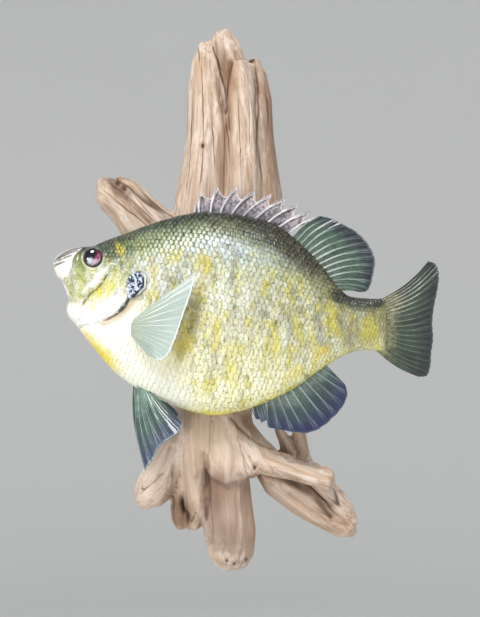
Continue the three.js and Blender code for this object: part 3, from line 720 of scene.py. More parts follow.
# The crease colour is painted shade in the head's creases, slits and pits.
SKIN_TINTS = tints(
    speckle="8c8a60", lip="f8f5ec", lip_shade="d6d2c2", lid="b9beac", membrane="bfa378", crease="33301f",
)
FLESH_NODES = (
    "head", "upper_lip", "lower_jaw", "throat", "gill_cover_left", "gill_cover_right", "trunk", "tail_stem",
)


def girth_at(x, turn):
    """The place round the body for the paint: 0 on the back's ridge and 1 on the belly's."""
    girth = np.abs(turn) / math.pi
    return girth - REAR_DROP * ramp(-10, 30, x / MM) * (1 - ramp(0.3, 0.6, girth))


def skin_material(look):
    plain = {"Roughness": 0.34, "Coat Weight": look.varnish, "Coat Roughness": 0.12}
    material, tree, shader = new_material("fish_skin", plain)
    paint = group_of(tree, "fish_paint", {"Girth": read(tree, "girth")})["Color"]
    place = object_place(tree)
    grain = noise_at(tree, place, 900, 3)
    speckle = stretch(tree, noise_at(tree, place, 420, 2), 0.52, 0.7)
    paint = blend(tree, product(tree, speckle, 0.16), paint, SKIN_TINTS["speckle"])
    shade = stretch(tree, noise_at(tree, place, 260, 3), 0.45, 0.75)
    lip = blend(tree, shade, SKIN_TINTS["lip"], SKIN_TINTS["lip_shade"])
    lip = airbrushed(tree, place, lip, LIP_PATCHES)
    paint = blend(tree, read(tree, "lip"), paint, lip)
    paint = blend(tree, product(tree, read(tree, "lid"), 0.85), paint, SKIN_TINTS["lid"])
    paint = blend(tree, product(tree, read(tree, "membrane"), 0.8), paint, SKIN_TINTS["membrane"])
    # Painted shade: a dark colour in the head's creases, slits and pits.
    paint = blend(tree, read(tree, "crease"), paint, SKIN_TINTS["crease"])
    join(tree, paint, shader["Base Color"])
    join(tree, stretch(tree, grain, 0.3, 0.8, 0.26, 0.42), shader["Roughness"])
    raise_by(tree, shader["Normal"], grain, 0.12 * MM)
    return material


def make_skin(look):
    """One closed skin from the lips to the tail's base, with the head's relief in it."""
    mesh = grid_mesh("fish_skin", SKIN_AROUND, SKIN_ALONG)
    around, along, _ = points_of(mesh).T
    x = np.interp(along, *zip(*SKIN_STATIONS)) * MM
    turn = (around * 2 - 1) * math.pi
    points, _, colours = skin_surface(x, turn, look.coat_depth)
    place_points(mesh, points)
    give(mesh, "girth", girth_at(x, turn))
    for name, values in colours.items():
        give(mesh, name, values)
    close_up(mesh)
    piece(mesh, "fish_skin", skin_material(look), *FLESH_NODES)


# ---- Scales ------------------------------------------------------------------
# Rows run along the body and are counted down from a line through its middle. Each
# scale is a thin closed plate, rooted under the one ahead and lying over the next.

SCALE_ROWS = range(-40, 60)
MIDDLE_ROW = [[-108, 30], [-80, 26], [-60, 22], [-30, 15], [0, 8], [40, -1], [66, -6], [98, -11]]
SCALE_LENGTH = [
    [-108, 2.1], [-84, 2.3], [-60, 2.8], [-30, 3.4], [0, 3.4], [30, 3.0], [60, 2.5], [98, 2.0],
]
ROW_HEIGHT = [
    [-108, 2.6], [-84, 3.0], [-60, 3.6], [-30, 4.2], [0, 4.2], [30, 3.8], [60, 3.1], [98, 2.6],
]
LARGEST_SCALE = 3.4
BELLY_ROW_GROWTH = 0.006  # each row below the middle one is taller by twice this part
BACK_ROW_SHRINK = 0.012  # and each row above it shorter by twice this part
FACE_SCALE_LENGTH = [[-130, 1.7], [-60, 2.0]]
FACE_ROW_HEIGHT = [[-130, 2.1], [-60, 2.4]]
SCALES_START = [
    [-99, 52], [-95.4, 44], [-91, 37.6], [-85, 31.6], [-78, 28.4], [-72, 25.4], [-68.6, 19],
    [-67, 11.6], [-65.4, 4.6], [-69, -3], [-76, -9.4], [-85.6, -13.6], [-95, -16], [-104, -18],
]
# How far the face's scales stay off its other parts, and the box that holds them.
FACE_GAPS = {"gill edge": 1.2, "groove": 1.7, "lips": 1.6, "eye": 2.8, "ear flap": 1, "body": 1.5}
FACE_BOX = {"front": -113, "bottom": -9, "top": 31}
PLATE_ACROSS = 5
PLATE_ALONG = 3
PLATE_CROWDING = 0.7  # below 1 a plate's cross lines stand closer together at its rear edge
UNEVENNESS = 0.15  # how far a scale may stray from its place, as a part of the spacing
SLANT = 0.2  # how far a scale's rear edge may slope, as a part of its length
ROOT_REACH = 0.42  # a plate starts this part of a scale's length ahead of its place
HALF_SPAN = 0.78  # and reaches this part of a row to each side
ROUNDNESS = 2.3  # power of a plate's rear edge: 2 is an oval and more is squarer
RIDGE_MARGIN = 0.3  # plates stay this part of a row off the back's and the belly's ridge
PLATE_LIFT = 0.04  # a plate's root stands this far off the skin
PLATE_CROWN = 0.1  # and its middle line this far above its sides
PLATE_TILTS = (0.75, 1.25)  # how far rear edges stand up, against the usual
NET_ON_BACK = 0.78  # strength of the dark net between the scales
NET_FALLS = [(0.2, 0.4, 0.46), (0.4, 0.8, 0.2)]  # from one girth to another it falls by this
BREAST = {"x": -88, "z": -22, "radius": 34}  # the net fades out here
NET_AT_TAIL = (91, 97)  # and from here to here on the tail stem
PATCH_SIZE = 0.003  # a plate's size on the OFBake map
CHART_MARGIN = 0.03  # and the map's empty border
TURN_OVERLAP = 0.4  # rows may cross the back's and the belly's ridge by this turn
# How finely the side map is worked out along the body, round it, and in its table.
MAP_STATIONS, MAP_TURNS, MAP_PARTS = 240, 360, 400
PLACES_ALONG = 800  # steps in which scales are spaced out from the snout to the tail
# Tones that lighten or darken whole scales or the parts of each; the middle tone lightens each scale's pale
# centre and paints a highlight on it.
SCALE_TINTS = tints(lighter="5c5c4c", dusky="bcbb9e", golden="f4e282", middle="50503f", shadow="747867")


def fan_reach(off_centre):
    """How far back a plate's round edge lies, at a part of the row off its centre line."""
    return np.sqrt(np.clip(1 - np.abs(off_centre / HALF_SPAN) ** ROUNDNESS, 0, 1))


class SideMap:
    """Finds the turn on the body's left side at an x and a distance round it from the back."""

    def __init__(self):
        self.stations = np.linspace(SNOUT_X + 1, TAIL_BASE_X, MAP_STATIONS) * MM
        turns = np.linspace(-TURN_OVERLAP, math.pi + TURN_OVERLAP, MAP_TURNS)
        x, turn = np.meshgrid(self.stations, turns, indexing="ij")
        steps = np.linalg.norm(np.diff(flesh(x, turn), axis=1), axis=2)
        arcs = np.concatenate([np.zeros((len(x), 1)), np.cumsum(steps, axis=1)], axis=1)
        self.back = np.array([np.interp(0, turns, row) for row in arcs])
        self.girth = np.array([np.interp(math.pi, turns, row) for row in arcs]) - self.back
        middle = turn_at(self.stations, curve_through(MIDDLE_ROW)(self.stations))
        self.middle = np.array([np.interp(t, turns, row) for t, row in zip(middle, arcs)]) - self.back
        self.full = arcs[:, -1]
        parts = np.linspace(0, 1, MAP_PARTS)
        self.table = np.array([np.interp(parts * row[-1], row, turns) for row in arcs])

    def along(self, values, x):
        """What the stations' values come to at x."""
        return np.interp(x, self.stations, values)

    def turn(self, x, arc):
        """The turn at x and at an arc round the body from the back's ridge."""
        column = self.along(np.arange(len(self.stations)), x)
        i = np.minimum(column.astype(int), len(self.stations) - 2)
        part = (arc + self.along(self.back, x)) / self.along(self.full, x)
        place = np.clip(part, 0, 1) * (self.table.shape[1] - 1)
        j = np.minimum(place.astype(int), self.table.shape[1] - 2)
        a, b = column - i, place - j
        near = self.table[i, j] * (1 - b) + self.table[i, j + 1] * b
        far = self.table[i + 1, j] * (1 - b) + self.table[i + 1, j + 1] * b
        return near * (1 - a) + far * a

    def arc_of_row(self, x, row, row_height):
        """How far round the body from the back's ridge a row lies at x."""
        below, above = np.maximum(row, 0), np.minimum(row, 0)
        grown = row + BELLY_ROW_GROWTH * below**2 + BACK_ROW_SHRINK * above**2
        return self.along(self.middle, x) + grown * row_height(x)


def scale_places(side_map, scale_length, row_height, wanted):
    """The x and the row of every scale that is wanted at its spot (x, z)."""
    xs = np.linspace(SNOUT_X + 2, TAIL_BASE_X, PLACES_ALONG) * MM
    counts = np.concatenate([[0], np.cumsum(np.diff(xs) / scale_length((xs[1:] + xs[:-1]) / 2))])
    places = []
    for row in SCALE_ROWS:
        x = np.interp(np.arange(int(counts[-1])) + (row % 2) / 2, counts, xs)
        arc = side_map.arc_of_row(x, np.full(len(x), float(row)), row_height)
        margin = RIDGE_MARGIN * row_height(x)
        on_side = (arc > margin) & (arc < side_map.along(side_map.girth, x) - margin)
        turn = side_map.turn(x, arc)
        spots = flesh(x, turn)[:, [0, 2]]
        kept = on_side & wanted(spots)
        places.append(np.stack([x[kept], np.full(kept.sum(), float(row))], 1))
    return np.concatenate(places)


def body_scales_here(spots):
    """Whether each spot (x, z) carries one of the body's scales."""
    return stroke(spots, SCALES_START)[0] > 0


def face_scales_here(spots):
    """Whether each spot (x, z) carries one of the face's scales."""
    x, z = spots.T / MM
    away = {
        "gill edge": -stroke(spots, GILL_EDGE)[0] / MM,
        "groove": np.abs(stroke(spots, CHEEK_GROOVE)[0]) / MM,
        "lips": stroke(spots, LIP_BORDER)[0] / MM,
        "eye": np.hypot(x - EYE["x"], z - EYE["z"]) - EYE["disc"],
        "ear flap": np.hypot(x - EAR_FLAP["x"], z - EAR_FLAP["z"]) - EAR_FLAP["short"],
        "body": -stroke(spots, SCALES_START)[0] / MM,
    }
    in_box = (x > FACE_BOX["front"]) & (z > FACE_BOX["bottom"]) & (z < FACE_BOX["top"])
    return in_box & np.all([away[name] > gap for name, gap in FACE_GAPS.items()], axis=0)


def plate_mesh(name):
    """A flat plate from (0, 0, 0) to (1, 1, 1); its underside is a single face."""
    bm = bmesh.new()
    bmesh.ops.create_grid(bm, x_segments=PLATE_ACROSS, y_segments=PLATE_ALONG, size=0.5)
    bmesh.ops.solidify(bm, geom=bm.faces[:], thickness=1)
    underside = [face for face in bm.faces if all(vert.co.z < -0.5 for vert in face.verts)]
    bmesh.ops.dissolve_faces(bm, faces=underside, use_verts=True)
    bmesh.ops.translate(bm, vec=(0.5, 0.5, 1), verts=bm.verts)
    return finished_mesh(bm, name)


def net_at(spots, girth):
    """How strongly the pigment between the scales shows: on the back most, on the breast least."""
    x, z = spots.T / MM
    breast = bump_at(np.hypot(x - BREAST["x"], z - BREAST["z"]), BREAST["radius"])
    kept = (1 - 0.95 * breast) * (1 - 0.8 * ramp(*NET_AT_TAIL, x))
    return kept * (NET_ON_BACK - sum(fall * ramp(start, end, girth) for start, end, fall in NET_FALLS))


def scale_mesh(name, side, side_map, places, scale_length, row_height, look, thin):
    """All the plates of one side as one mesh, shaped to the body under each of them."""
    template = plate_mesh(name + "_plate")
    across, along, through = points_of(template).T
    along = along**PLATE_CROWDING
    span = (across * 2 - 1) * HALF_SPAN
    reach = -ROOT_REACH + along * (ROOT_REACH + fan_reach(span))
    behind = reach + 1 - fan_reach(span)
    beside = reach + 0.5 - fan_reach(np.abs(span) - 1)
    shown = np.minimum(behind, beside)

    chance = np.random.default_rng(11 if side > 0 else 12)
    count, corners = len(places), len(span)
    stray = chance.uniform(-UNEVENNESS, UNEVENNESS, (2, count, 1))
    x0, row0 = places[:, 0, None], places[:, 1, None] + stray[1]
    x0 = x0 + stray[0] * scale_length(x0)
    slant = chance.uniform(-SLANT, SLANT, (count, 1)) * span * along
    x = (x0 + (reach + slant) * scale_length(x0)).ravel()
    x = np.clip(x, (SNOUT_X + 2) * MM, (TAIL_BASE_X - 0.4) * MM)
    row = (row0 + span).ravel()
    turn = side_map.turn(x, side_map.arc_of_row(x, row, row_height)) * side
    base, normal, _ = skin_surface(x, turn, look.coat_depth)
    girth = girth_at(x, turn)
    net = net_at(base[:, [0, 2]], girth)
    thin = thin * (0.3 + 0.7 * np.minimum(1, net * 1.6)).reshape(count, corners)
    tilt = chance.uniform(*PLATE_TILTS, (count, 1))
    tilt *= scale_length(x0) / (LARGEST_SCALE * MM)
    lift = PLATE_LIFT + tilt * look.scale_lift / MM * (reach + ROOT_REACH) / (1 + ROOT_REACH)
    crown = PLATE_CROWN * np.cos(np.clip(span / HALF_SPAN, -1, 1) * math.pi / 2)
    height = (lift + crown) * thin + (through - 1) * look.scale_thickness / MM * thin
    points = base + normal * (height.ravel() * MM)[:, None]

    faces = [list(face.vertices)[::side] for face in template.polygons]
    bpy.data.meshes.remove(template)
    starts = range(0, count * corners, corners)
    all_faces = [[start + corner for corner in face] for start in starts for face in faces]
    mesh = bpy.data.meshes.new(name)
    mesh.from_pydata(points, [], all_faces)
    give(mesh, "girth", girth)
    give(mesh, "shown", np.tile(shown, count))
    give(mesh, "tone", np.repeat(chance.uniform(-1, 1, count), corners))
    give(mesh, "net", net * thin.ravel())
    chart_span = 1 - 2 * CHART_MARGIN
    part_along = (x0 / MM - SNOUT_X) / (TAIL_BASE_X - SNOUT_X)
    part_round = side_map.turn(x0, side_map.arc_of_row(x0, row0, row_height)) / math.pi
    chart_x = CHART_MARGIN + chart_span * part_along + (along - 0.5) * PATCH_SIZE
    chart_y = CHART_MARGIN + chart_span * part_round + (across - 0.5) * PATCH_SIZE
    lay_out(mesh, "OFBake", np.stack([chart_x.ravel(), chart_y.ravel()], 1))
    return mesh


def scale_material(look):
    plain = {"Roughness": 0.36, "Coat Weight": look.varnish * 0.6, "Coat Roughness": 0.2}
    material, tree, shader = new_material("fish_scales", plain)
    place = object_place(tree)
    paint = group_of(tree, "fish_paint", {"Girth": read(tree, "girth")})["Color"]
    tone, shown = read(tree, "tone"), read(tree, "shown")
    lighter = stretch(tree, tone, 0.1, 1.0, 0, 0.5)
    paint = blend(tree, lighter, paint, SCALE_TINTS["lighter"], "SCREEN")
    dusky = stretch(tree, read(tree, "net"), 0.05, 0.2, 0.15, 0.6)
    dusky = product(tree, stretch(tree, tone, -0.1, -1.0), dusky)
    paint = blend(tree, dusky, paint, SCALE_TINTS["dusky"], "MULTIPLY")
    golden = product(tree, stretch(tree, tone, 0.2, 0.4), stretch(tree, tone, 0.8, 0.6))
    golden = product(tree, golden, stretch(tree, read(tree, "net"), 0, 0.2, 0, 0.4))
    paint = blend(tree, golden, paint, SCALE_TINTS["golden"], "MULTIPLY")
    net = product(tree, read(tree, "net"), look.gap_strength)
    # The middle of each scale is lightened: its pale centre, with a painted highlight on it.
    middle = product(tree, stretch(tree, shown, 0.25, 0.62, 0, 0.8), read(tree, "net"))
    paint = blend(tree, middle, paint, SCALE_TINTS["middle"], "SCREEN")
    uneven = stretch(tree, noise_at(tree, place, 110, 3, 0.7), 0.38, 0.62, 0.25, 1.0)
    shadow = product(tree, stretch(tree, shown, 0.36, 0.0), uneven)
    dark = blend(tree, 1.0, paint, SCALE_TINTS["shadow"], "MULTIPLY")
    paint = blend(tree, product(tree, shadow, net), paint, dark)
    join(tree, paint, shader["Base Color"])
    grain = noise_at(tree, place, 1400, 2)
    join(tree, stretch(tree, grain, 0.3, 0.8, 0.3, 0.44), shader["Roughness"])
    raise_by(tree, shader["Normal"], grain, 0.06 * MM)
    return material


def make_scales(look):
    """Two coats of scales a side: the body's and the face's smaller ones."""
    side_map = SideMap()
    material = scale_material(look)
    # Name, lengths, heights, where they lie and how thick they are.
    kinds = [
        ("scales", SCALE_LENGTH, ROW_HEIGHT, body_scales_here, 1.0),
        ("face_scales", FACE_SCALE_LENGTH, FACE_ROW_HEIGHT, face_scales_here, 0.42),
    ]
    for kind, lengths, heights, wanted, thin in kinds:
        scale_length, row_height = curve_through(lengths), curve_through(heights)
        places = scale_places(side_map, scale_length, row_height, wanted)
        for side, word in ((1, "left"), (-1, "right")):
            mesh = scale_mesh(
                f"{kind}_{word}", side, side_map, places, scale_length, row_height, look, thin
            )
            piece(mesh, "fish_skin", material)


# ---- Eyes and ear flaps ------------------------------------------------------

# Each part of the eye: its middle right of and above the eye's, half size, turn, softness
# and colour; the iris takes the colour that the user sets.
EYE_PARTS = [
    ((0, 0), (6.4, 6.4), 0, 0.03, "141012"),
    ((0.2, 0), (5.8, 5.8), 0, 0.2, "2b0d1a"),
    ((2.2, 0.9), (3.7, 3.3), 30, 0.35, "iris"),
    ((2.4, 1.2), (1.9, 1.2), 35, 0.7, "9c4474"),
    ((-1.4, 1.9), (3.9, 3.1), 24, 0.2, "060507"),
    # The next two parts, pale and low on the eye, are painted reflections of the lights.
    ((1.2, -2.9), (3.4, 1.6), 24, 0.6, "c6a9b8"),
    ((-1.9, -2.3), (1.3, 2.1), -30, 0.5, "c0d2d6"),
]
EYE_TINTS = tints(rim="8f8a78", iris_streak="7c2a48")
FLAP_TINTS = tints(dark="1a2234", sheen="cfdcf0", band="0c0f18", rim="e6e6da")
EYE_SEGMENTS = 48
EYE_RINGS = 24
FLAP_CELLS = 24
FLAP_THICKNESS = (0.9, 0.35)  # at its middle and its rim
FLAP_STAND = (1.35, 0.75)  # how far it stands off the body at its front and its rear


def eye_material(look):
    plain = {"Roughness": 0.12, "Coat Weight": 1.0, "Coat Roughness": 0.02, "IOR": 1.5}
    material, tree, shader = new_material("eye_glass", plain)
    place = object_place(tree)
    streak = stretch(tree, noise_at(tree, place, 700, 3, 0.7, 1.5), 0.35, 0.7)
    iris = blend(tree, streak, [*look.iris_colour, 1], EYE_TINTS["iris_streak"])
    uneven = wandering(tree, place, 420, 2.2)
    paint = EYE_TINTS["rim"]
    # Among these parts are two painted reflections.
    for (right, up), half_size, turn, softness, code in EYE_PARTS:
        spot = place if softness < 0.1 else uneven
        part = within(tree, spot, (EYE["x"] + right, EYE["z"] + up), half_size, turn, softness)
        paint = blend(tree, part, paint, iris if code == "iris" else colour(code))
    join(tree, paint, shader["Base Color"])
    return material


def make_eyes(look):
    """Flattened glass domes, each a turned ball that is half sunk in the head."""
    material = eye_material(look)
    for side, word in ((-1, "left"), (1, "right")):
        bm = bmesh.new()
        bmesh.ops.create_uvsphere(bm, u_segments=EYE_SEGMENTS, v_segments=EYE_RINGS, radius=MM)
        bmesh.ops.rotate(bm, matrix=Matrix.Rotation(math.pi / 2, 3, "X"), verts=bm.verts)
        bmesh.ops.scale(bm, vec=(EYE["disc"], EYE["bulge"], EYE["disc"]), verts=bm.verts)
        centre = (EYE["x"] * MM, FISH_PLANE + side * EYE["from_middle"] * MM, EYE["z"] * MM)
        bmesh.ops.translate(bm, vec=centre, verts=bm.verts)
        piece(finished_mesh(bm, "glass_eye_" + word), "eye", material, "eye_" + word)


def flap_material():
    plain = {"Roughness": 0.25, "Coat Weight": 0.7, "Coat Roughness": 0.08}
    material, tree, shader = new_material("ear_flap", plain)
    place = object_place(tree)
    sheen = stretch(tree, noise_at(tree, place, 330, 2, 0.55, 2.0), 0.46, 0.53)
    paint = blend(tree, sheen, FLAP_TINTS["dark"], FLAP_TINTS["sheen"])
    paint = blend(tree, read(tree, "band"), paint, FLAP_TINTS["band"])
    paint = blend(tree, read(tree, "rim"), paint, FLAP_TINTS["rim"])
    join(tree, paint, shader["Base Color"])
    raise_by(tree, shader["Normal"], sheen, 0.25 * MM)
    return material


def make_ear_flaps():
    """Thin, rippled ovals that follow the body behind the gill covers."""
    material = flap_material()
    tilt = math.radians(EAR_FLAP["tilt"])
    for side, word in ((1, "left"), (-1, "right")):
        mesh = grid_mesh("ear_tab_" + word, FLAP_CELLS, FLAP_CELLS, thick=True)
        across, along, through = points_of(mesh).T
        a, b = across * 2 - 1, along * 2 - 1
        a, b = a * np.sqrt(1 - b * b / 2), b * np.sqrt(1 - a * a / 2)
        far_out = np.hypot(a, b)
        narrow = b * (1 - EAR_FLAP["taper"] * ramp(0.2, -1, a)) * (1 + 0.05 * np.sin(a * 9))
        long, short = a * EAR_FLAP["long"] * MM, narrow * EAR_FLAP["short"] * MM
        x = EAR_FLAP["x"] * MM + long * math.cos(tilt) - short * math.sin(tilt)
        z = EAR_FLAP["z"] * MM + long * math.sin(tilt) + short * math.cos(tilt)
        turn = turn_at(x, z)
        rear = (x / MM - EAR_FLAP["x"]) / EAR_FLAP["short"]
        thick = part_way(FLAP_THICKNESS, far_out**3)
        stand = part_way(FLAP_STAND, ramp(0.2, 1.1, rear)) + 0.14 * np.sin(a * 6 + b * 3) * far_out
        offset = (stand + through * thick) * MM
        place_points(mesh, flesh(x, turn * side) + flesh_normal(x, turn * side) * offset[:, None])
        behind = ramp(-0.35, 0.35, -b)
        give(mesh, "band", ramp(0.56, 0.7, far_out) * ramp(-0.1, 0.5, -b))
        give(mesh, "rim", ramp(0.8, 0.88, far_out) * behind * ramp(-0.75, -0.3, a))
        close_up(mesh)
        piece(mesh, "ear_flap", material, "ear_flap_" + word)


# ---- Fins --------------------------------------------------------------------
# A spine is [x of its foot, length, lean from the vertical in degrees]. The outlines of
# the soft fins run from the first ray to the last, as [x, z].

DORSAL_SPINES = [
    [-29, 6.6, -4], [-26.4, 12.6, 1], [-18.5, 18.4, 12], [-12, 21.6, 29], [-4.6, 23, 44],
    [3.4, 24.6, 51.5], [11.5, 25, 55], [20, 23.8, 58], [27, 23.4, 62], [33.2, 22.6, 58],
]
ANAL_SPINES = [[7.6, 8.4, 156], [11, 12, 163], [15, 14, 165]]
SPINE_RADIUS = 0.65  # at its foot
SPINE_SIDES = 10
SPINE_RINGS = 14
SPINE_TIP = 0.34  # the tip's radius as a part of the foot's
SPINE_BURIED = 5  # how deep its root lies in the body
SPINE_ARC = 0.07  # spines and rays bow forwards by this part of their length
TAIL_ARC = -0.06  # and the tail's rays downwards
WEB_TOP = 0.9  # the web starts this part of the way up a spine
WEB_THICKNESS = (0.26, 0.16)  # half of it, at the fin's root and margin
RIBS = (0.95, 0.42)  # how far a ray stands out at the root and margin, from the web's middle
# The web hangs down to the first part of the spines half way between two, and meets the
# next spine at the second.
DORSAL_WEB_HANG = (0.62, 0.52)
ANAL_WEB_HANG = (0.86, 0.78)
SOFT_DORSAL_ROOT = [[34.6, 47], [46, 35], [57, 22], [66.4, 11]]
SOFT_DORSAL_EDGE = [
    [53, 61.4], [61, 59.4], [67, 56.2], [76.7, 50.9], [83, 45], [87.4, 38], [89.3, 31.4], [88.6, 25],
    [86.6, 16], [83.6, 11.4], [79, 10.8],
]
ANAL_ROOT = [[7.6, -62], [11, -61.6], [15, -61], [28, -56], [44, -46], [57, -37]]
ANAL_EDGE = [
    [18.6, -78.4], [26, -80.2], [36, -81.8], [45, -82.2], [54, -78.6], [61, -72.8], [66.4, -67],
    [70.8, -58], [69.8, -51], [66, -46.6],
]
TAIL_ROOT = [[93, 6], [93.4, -2], [93, -12], [92, -20], [89.4, -27.4]]
TAIL_EDGE = [
    [124.6, 31.4], [129.2, 29.6], [131.4, 23], [130.4, 12], [128.4, 1], [127.2, -10], [127.6, -20],
    [126.6, -29], [126, -38], [123.4, -44.4], [118, -45.2],
]
PELVIC_ROOT = [[-67.4, -50], [-59.4, -54]]
PELVIC_EDGE = [
    [-61.4, -104.6], [-56.4, -98], [-53, -90.6], [-45.6, -84.2], [-39.4, -79.6], [-37.4, -74.6],
    [-40.4, -70],
]
PELVIC_FOOT = 7  # its foot's distance from the fish's middle
PELVIC_BOW = 3.4  # its first ray bows forwards by this
PECTORAL_FOOT = {"x": -67.6, "z": -12.6, "half_height": 4.6, "sunk": 2, "ahead": 3}
# Each ray's angle above the level, in degrees, and its length.
PECTORAL_RAYS = [
    [42, 53.6], [32, 43], [13, 32], [-6, 28], [-22, 27], [-38, 27.4], [-50, 26], [-60, 21], [-68, 13],
]
RIPPLE = 0.9  # a fin's margin waves from side to side by this much
RIPPLE_WAVES = 3
FORKS = [(0.24, 0.45, 0.95), (0.1, 0.7, 1.0)]  # a fork's spread, and where on the ray it opens
MARGIN_TEETH = 0.012  # rays stand out of the margin by this part of the fin's length
CELLS_PER_RAY = 8
CELLS_ALONG_RAY = 44
# The tint beside each ray is painted shade.
WEB_TINTS = tints(mottle="26302f", fold="1a2226", beside_ray="20282a")
# Colours at a fin's root, middle and margin and of its rays, how mottled its web is, and
# how strongly its rays and the painted highlight on its rim show.
FIN_PAINTS = {
    "dorsal_spiny": ("56525f", "9d939b", "bfb2b4", "f3f1f6", 0.75, 0.95, 0.7),
    "dorsal_soft": ("5b6c5e", "48614f", "12182e", "b4c6bc", 0.5, 0.75, 0.25),
    "anal": ("6a7a6e", "35464c", "181d52", "a4b4b8", 0.45, 0.6, 0.15),
    "tail": ("8f8b68", "354636", "0e1720", "98a682", 0.7, 0.52, 0.12),
    "pelvic": ("86a092", "3f5e50", "2f3e60", "b4c6c2", 0.5, 0.7, 0.4),
    "pectoral": ("a4b09a", "a8b7ac", "b2c1b8", "f4f8f4", 0.03, 0.85, 0.8),
}


def on_plane(outline):
    """The outline's points in the fish's middle plane."""
    return [(x * MM, FISH_PLANE, z * MM) for x, z in outline]


def up_spine(spine, outline, part):
    """The point a part of the way up a spine, from its foot on the body's outline."""
    foot_x, length, lean = spine
    angle = math.radians(lean)
    foot_z = float(outline(np.array(foot_x * MM)))
    reach = part * length * MM
    return (foot_x * MM + math.sin(angle) * reach, FISH_PLANE, foot_z + math.cos(angle) * reach)


def web_edge(spines, outline, hang):
    """The web's edge: from each spine's tip it hangs down to a lower place on the next spine."""
    edge = []
    half_way, at_next = hang
    for spine, following in itertools.pairwise(spines):
        sag, next_sag = (Vector(up_spine(one, outline, half_way)) for one in (spine, following))
        dip, next_dip = (Vector(up_spine(one, outline, at_next)) for one in (spine, following))
        edge.append(up_spine(spine, outline, WEB_TOP))
        edge += [tuple(sag.lerp(next_sag, 0.4)), tuple(dip.lerp(next_dip, 0.93))]
    return edge + [up_spine(spines[-1], outline, WEB_TOP)]


def ray_ridge(across, along, rays, branching):
    """1 on a ray and 0 between rays. Folding the distance makes each ray fork, and fork again."""
    spacing = across * (rays - 1)
    off_ray = np.abs(spacing - np.round(spacing))
    for spread, start, end in FORKS:
        off_ray = np.abs(off_ray - spread * ramp(start, end, along) * branching)
    width = 0.16 - 0.07 * along * branching - 0.04 * along
    return np.exp(-((off_ray / width) ** 2))


def bent(points, ray, along, arc):
    """Points along a ray, in the fish's plane, moved sideways by an arc as a part of its length."""
    sideways = np.stack([-ray[:, 2], np.zeros(len(ray)), ray[:, 0]], 1)
    return points + sideways * (arc * np.sin(along * math.pi))[:, None]


def fin_mesh(name, root, edge, rays, branching=1.0, bow=None, swing=0.0, ribs=RIBS, arc=0.0):
    """A thin closed sheet from a root line to an edge line, with its rays standing out of
    both faces. The bow moves it sideways and swing bends its first ray forward."""
    mesh = grid_mesh(name, CELLS_PER_RAY * (rays - 1), CELLS_ALONG_RAY, thick=True)
    across, along, through = points_of(mesh).T
    ridge = ray_ridge(across, along, rays, branching)
    jagged = along + MARGIN_TEETH * (ridge - 0.6) * ramp(0.8, 1, along)
    start, end = rail(root)(across), rail(edge)(across)
    points = bent(start + (end - start) * jagged[:, None], end - start, along, arc)
    web, rib = part_way(WEB_THICKNESS, along), part_way(ribs, along)
    joints = 1 - 0.12 * (np.sin(along * 90) > 0.6) * ramp(0.3, 0.5, along)
    half = (web + (rib - web) * ridge * joints) * MM
    points[:, 1] += (through * 2 - 1) * half
    points[:, 0] -= swing * MM * (1 - across) * np.sin(along * math.pi)
    if bow is not None:
        points[:, 1] += bow(across, along) * MM
    place_points(mesh, points)
    give(mesh, "ray", ridge)
    lay_out(mesh, "lay", np.stack([across, along], 1))
    close_up(mesh)
    return mesh


def ripple(across, along):
    """How far a fin waves to one side, in millimetres."""
    return RIPPLE * along**2 * np.sin(across * RIPPLE_WAVES * 2 * math.pi)


def with_spines(mesh, spines, outline, arc=0.0):
    """Adds tapered spines to a fin's mesh, each from inside the body to its free tip."""
    bm = bmesh.new()
    bm.from_mesh(mesh)
    bpy.data.meshes.remove(mesh)
    for i, spine in enumerate(spines):
        tube = grid_mesh("spine", SPINE_SIDES, SPINE_RINGS)
        around, along, _ = points_of(tube).T
        foot, tip = (np.array([up_spine(spine, outline, part)]) for part in (-SPINE_BURIED / spine[1], 1))
        rise = (tip - foot).repeat(len(along), 0)
        points = bent(foot + rise * along[:, None], rise, along, arc)
        round_ends = np.sqrt(1 - np.abs(along * 2 - 1) ** 12)
        radius = SPINE_RADIUS * MM * part_way((1, SPINE_TIP), along) * round_ends
        angle = around * 2 * math.pi
        sideways = np.stack([-rise[:, 2], np.zeros(len(rise)), rise[:, 0]], 1) / np.linalg.norm(rise[0])
        points += sideways * (radius * np.cos(angle))[:, None] + np.outer(radius * np.sin(angle), (0, 1, 0))
        place_points(tube, points)
        give(tube, "ray", np.ones(len(along)))
        lay_out(tube, "lay", np.stack([np.full(len(along), i / len(spines)), along], 1))
        close_up(tube)
        bm.from_mesh(tube)
        bpy.data.meshes.remove(tube)
    return finished_mesh(bm, "spined_fin")


